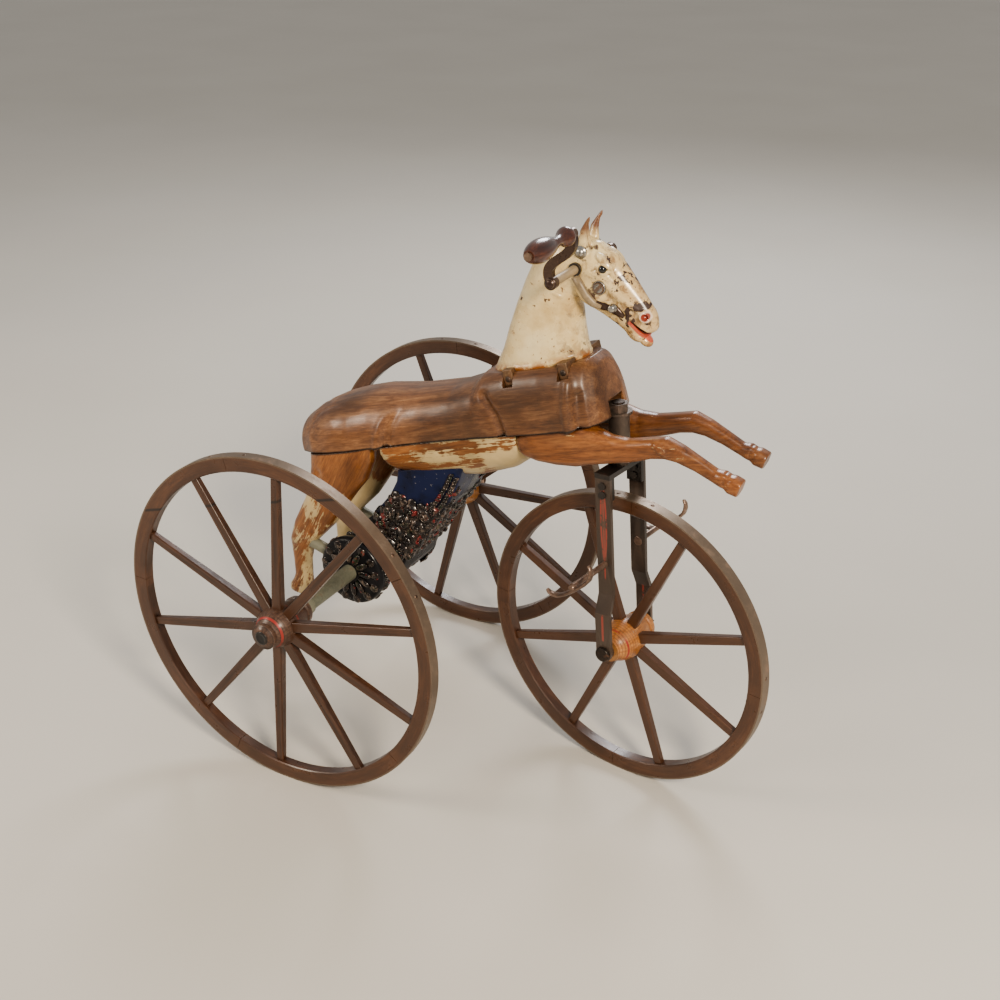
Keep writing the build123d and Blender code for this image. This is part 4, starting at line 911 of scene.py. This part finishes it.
for side, y in SIDES:
    out = Vector((0, y, 0))
    bm = bmesh.new()
    face = cheek(370, 852)
    turned(bm, at(370, y * (face - 6), 852), out,
           [(0, 7.6), (5.5, 7.6), (6.2, 9.2), (7.6, 9.2), (8, 7.2), (10, 6.6), (12, 4.8), (13.2, 2.4)])
    dome = new_object("dome_bolt_" + side, bm, bright_steel, "frame")
    bm = bmesh.new()
    face = cheek(401, 807)
    turned(bm, at(401, y * (face - 5), 807), out,
           [(0, 10.2), (8.6, 10.2), (9.8, 9.4), (9.8, 8.4), (8.6, 7.8), (11.4, 7.0), (12.4, 5.6), (12.6, 3)])
    slotted = sculpt("slotted_bolt_" + side, bm, bright_steel, 0.0004, 1)
    top = y * (face + 7.2)
    carve(slotted, [([at(395, top, 800), at(407, top, 814)], 0.0016, 0.004)])
    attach(slotted, "frame")
    bm = bmesh.new()
    run = [(364, 818), (372, 806), (382, 794), (392, 784), (402, 779)]
    limb(bm, [(x, y * (cheek(x, z) + 1.0), z, 6.5 if k < 4 else 4.5, 6) for k, (x, z) in enumerate(run)], 18)
    strap = new_object("cheek_rod_" + side, bm, rod_paint, "frame")
    bm = bmesh.new()
    run = [(396, 786), (404, 780), (413, 779), (422, 778), (430, 772), (436, 768)]
    depths = (3, 6.5, 5, 7.5, 5, 2.5)
    limb(bm, [(x, y * (cheek(x, z) + 0.5), z, depth, 3.2) for (x, z), depth in zip(run, depths)], 18)
    bracket = new_object("bit_bracket_" + side, bm, arm_iron, "frame")
    bm = bmesh.new()
    turned(bm, at(421, y * (cheek(421, 780) - 4), 780), out,
           [(0, 5.4), (5, 5.4), (5.6, 6.4), (7.4, 6.4), (8, 5.2), (13, 5.0), (14, 3.8)])
    rein = new_object("bit_end_" + side, bm, bright_steel, "frame")

bm = bmesh.new()
for y in (-1, 1):
    for s, face in LUGS:
        for reach, middle, tall in ((26, 555, 22), (40, 565, 6)):
            block(bm, s, y, face - reach / 2, middle, (16, reach, tall))
lugs = sculpt("neck_lug_plates", bm, lug_iron, 0.0011, 3)
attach(lugs, "frame")
bm = bmesh.new()
for y in (-1, 1):
    for s, face in LUGS:
        turned(bm, on_body(s, y * (face - 1), 554), Vector((0, y, 0)),
               [(0, 4.6), (1.6, 4.4), (2.6, 3.4), (3, 1.6)], 20)
screws = new_object("neck_lug_screws", bm, dark_iron, "frame")
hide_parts("neck_screws")
bm = bmesh.new()
for y, plane in ((-1, 98), (1, 84)):
    turned(bm, at(364, y * (plane + 1.5), 828), Vector((0, y, 0)),
           [(0, 9.0), (3.4, 9.2), (4.6, 8.4), (5.0, 6.6), (6.6, 5.8), (7.6, 3.6), (8.0, 1.5)], 32)
bosses = new_object("crank_boss_caps", bm, arm_iron, "crank")
bm = bmesh.new()
for y in (-1, 1):
    turned(bm, at(0, y * 323.4, AXLE_UP), Vector((0, y, 0)),
           [(0, 11.4), (1.4, 11.0), (2.0, 8.2), (1.6, 7.6), (1.6, 3.0)], 32)
caps = new_object("axle_end_caps", bm, black_iron, "rear_axle")
bm = bmesh.new()
for y in (-1, 1):
    turned(bm, at(0, y * 317.6, AXLE_UP), Vector((0, y, 0)),
           [(0, 18.5), (0.8, 21.0), (2.2, 21.0), (2.8, 18.6), (4.2, 18.2), (4.8, 16.0), (6.0, 15.6),
            (6.4, 10)], 56)
noses = new_object("hub_noses", bm, nose_wood, "rear_axle")
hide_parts("axle_nuts")

CASE = [
    (196, 500), (180, 455), (166, 425), (140, 388), (110, 345), (86, 308), (74, 280), (56, 258), (28, 246),
    (0, 238), (-25, 245), (-43, 262), (-47, 285), (-40, 312), (-14, 338), (22, 372), (42, 397), (59, 419),
    (72, 445), (80, 500),
]
bm = bmesh.new()
prism(bm, CASE, -54, 54)
for y in (-1, 1):
    turned(bm, at(0, 0, AXLE_UP), Vector((0, y, 0)),
           [(40, 44), (56, 50), (70, 57), (82, 60), (89, 57), (91.5, 48), (91.8, 20)])
case = sculpt("japanned_case", bm, japan, 0.0022, 7)
trim(case, on_body(0, 0, 424), BODY_N)
ROSES = [
    (74, 410, 13), (98, 401, 14), (123, 398, 14), (60, 388, 14), (84, 379, 16), (110, 374, 15),
    (46, 368, 15), (70, 354, 16), (95, 349, 15), (36, 344, 14), (56, 330, 15), (80, 326, 14),
    (19, 332, 13), (6, 318, 12), (40, 308, 14), (62, 300, 12), (138, 410, 10), (-16, 318, 11),
]
FRONT_ROSES = [(172, 447), (160, 424), (146, 403), (131, 381), (116, 358), (101, 336), (86, 314)]
for half, side, y in halves(case, "japanned_case"):
    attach(half, "frame")
    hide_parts("chain_case_" + side)
    chance = random.Random(7)
    outward = Vector((0, y, 0))
    bm = bmesh.new()
    for x, z, size in ROSES:
        rose(bm, at(x, y * 52.5, z), outward, size * 1.15, chance)
    for k in range(24):
        x, z, size = chance.choice(ROSES)
        turn, reach = chance.uniform(0, 2 * pi), size * chance.uniform(0.8, 1.15)
        spin = turn + chance.uniform(-0.7, 0.7)
        along = Vector((cos(spin), 0, sin(spin)))
        lift = (outward + along * chance.uniform(0.0, 0.5)).normalized()
        place = at(x + cos(turn) * reach, y * 54.5, z + sin(turn) * reach)
        petal(bm, place, (along, lift.cross(along), lift), (8.5, 3.8, 2.0))
    for k in range(13):
        turn = 2 * pi * k / 13
        out = Vector((cos(turn), 0, sin(turn)))
        for reach, length, width in ((30, 13, 5.8), (48, 9, 8.0)):
            shift = Vector((cos(turn + 0.1), 0, sin(turn + 0.1))) * (reach / 1000)
            place = at(0, y * (92 - (reach - 30) * 0.17), AXLE_UP) + shift
            petal(bm, place, (out, out.cross(outward), outward), (length, width, 3.5))
    for k in range(15):
        turn = 2 * pi * k / 15
        out = Vector((cos(turn), 0, sin(turn)))
        if sin(turn) < 0.75:
            middle = at(0, y * (70 + 4 * (k % 2)), AXLE_UP) + out * 0.0555
            rose(bm, middle, (out + outward * 0.3).normalized(), 9.5, chance)
    for row, (x, z) in enumerate(FRONT_ROSES):
        for k in range(3):
            lean = Vector((0.82, 0, -0.57)) + outward * 0.3 * (k == 2)
            if row > 1 or k == 2:
                rose(bm, at(x, y * (9 + 18 * k), z), lean.normalized(), 11.5, chance)
    relief = new_object("case_roses_" + side, bm, roses, "frame")
    bm = bmesh.new()
    edge = [(186, 474), (176, 452), (161, 425), (135, 389), (105, 346), (81, 309), (68, 282)]
    for (ax, az), (bx, bz) in zip(edge, edge[1:]):
        steps = max(1, round(hypot(bx - ax, bz - az) / 6))
        for k in range(steps):
            share = k / steps
            along = Vector((bx - ax, 0, bz - az)).normalized()
            twist = (along + Vector((along.z, 0, -along.x)) * 0.8).normalized()
            for inset in (3, 13):
                x = ax + (bx - ax) * share - inset * abs(along.z)
                z = az + (bz - az) * share + inset * abs(along.x)
                petal(bm, at(x, y * 54.5, z), (twist, outward.cross(twist), outward), (6.2, 3.0, 3.2))
    cord = new_object("case_border_" + side, bm, roses, "frame")

# ---- forged foot rests
TILT = radians(36)
TREAD = (
    (-48, 15, 2.4, 3.0), (-47, 9, 2.6, 5.0), (-42, 3, 2.8, 6.5), (-34, -2, 2.9, 7.5), (-20, -4.5, 3.1, 8.0),
    (0, -5, 3.6, 8.5), (20, -4.5, 3.1, 8.0), (34, -2, 2.9, 7.5), (42, 3, 2.8, 6.5), (47, 10, 2.6, 5.0),
    (47.5, 17, 2.2, 3.0),
)
for side, y in SIDES:
    bm = bmesh.new()
    turned(bm, on_fork(0, y * 42, 148), FORK_Y * y,
           [(-0.5, 7.5), (1.5, 8.5), (3, 5.2), (12, 5.0), (50, 4.6), (80, 5.2), (90, 6.2), (95, 4.0)], 24)
    sections = []
    for u, w, thick, wide in TREAD:
        lean = radians(0 if abs(u) < 30 else (78 if u > 0 else -78) * (abs(u) - 30) / 17)
        section = []
        for k in range(16):
            turn = 2 * pi * k / 16
            du, dw = -sin(lean) * thick * sin(turn), cos(lean) * thick * sin(turn)
            dy = wide * cos(turn)
            a, b = u + du, w + dw
            x, z = a * cos(TILT) - b * sin(TILT), 148 + a * sin(TILT) + b * cos(TILT)
            section.append(on_fork(x, y * 130 + dy, z))
        sections.append(section)
    rings(bm, sections)
    rest = sculpt("forged_rest_" + side, bm, bare_iron, 0.0011, 3)
    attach(rest, "fork")
    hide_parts("foot_rest_" + side)

# ---- tyre nails
for wheel, body, radius, count, first in (("right_wheel", "rear_axle", 280, 5, 33.0),
                                          ("left_wheel", "left_wheel", 280, 5, 20.0),
                                          ("front_wheel", "front_wheel", 244, 4, 84.0)):
    centre, forward, up, axis = WHEELS[wheel]
    bm = bmesh.new()
    for k in range(count):
        for off in (-7, 7):
            turn = radians(first + 360 * k / count + off)
            out = forward * cos(turn) + up * sin(turn)
            turned(bm, centre + out * (radius - 1.5) / 1000, out, [(0, 3.6), (1.4, 3.4), (2.0, 1.6)], 12)
    nails = new_object(wheel + "_tyre_nails", bm, bolt_iron, body)

# ---- camera, floor and light
YAW, PITCH = radians(29.22), radians(26.52)
camera_data = bpy.data.cameras.new("camera")
camera_data.lens = 50.59
camera_data.sensor_width = 36.0
camera_data.clip_end = 50
camera = bpy.data.objects.new("camera", camera_data)
link(camera)
camera.location = (0.98220, -1.71645, 1.40873)
camera.rotation_euler = (pi / 2 - PITCH, 0, YAW)
bpy.context.scene.camera = camera

floor_nodes = Nodes("pale_floor")
floor_tone = floor_nodes.mix(floor_nodes.noise(1.5, 3), (0.56, 0.53, 0.48), (0.62, 0.59, 0.54))
floor_material = floor_nodes.done(floor_tone, 0.85)
bm = bmesh.new()
bmesh.ops.create_grid(bm, x_segments=2, y_segments=2, size=12.0)
floor = new_object("floor", bm, floor_material, None, smooth=False)
floor.location = (0, 0, -0.0005)


def area_light(name, place, aim, size, power, colour):
    data = bpy.data.lights.new(name, "AREA")
    data.shape = "DISK"
    data.size = size
    data.energy = power
    data.color = colour
    light = bpy.data.objects.new(name, data)
    link(light)
    light.location = place
    light.rotation_euler = (Vector(aim) - Vector(place)).to_track_quat("-Z", "Y").to_euler()


area_light("key", (2.3, -1.9, 2.3), (0, 0, 0.4), 0.7, 90, (1.0, 0.88, 0.72))
area_light("fill", (-2.4, -2.0, 2.0), (0, 0, 0.4), 1.2, 34, (1.0, 0.88, 0.74))
area_light("rim", (-0.6, 2.8, 2.6), (0, 0, 0.5), 1.4, 45, (0.95, 0.97, 1.0))
world = bpy.data.worlds.new("soft_room")
world.use_nodes = True
world.node_tree.nodes["Background"].inputs[0].default_value = (0.95, 0.93, 0.9, 1)
world.node_tree.nodes["Background"].inputs[1].default_value = 0.36
bpy.context.scene.world = world
view = bpy.context.scene.view_settings
view.view_transform = "AgX"
view.look = "AgX - Medium High Contrast"
view.exposure = 0.35
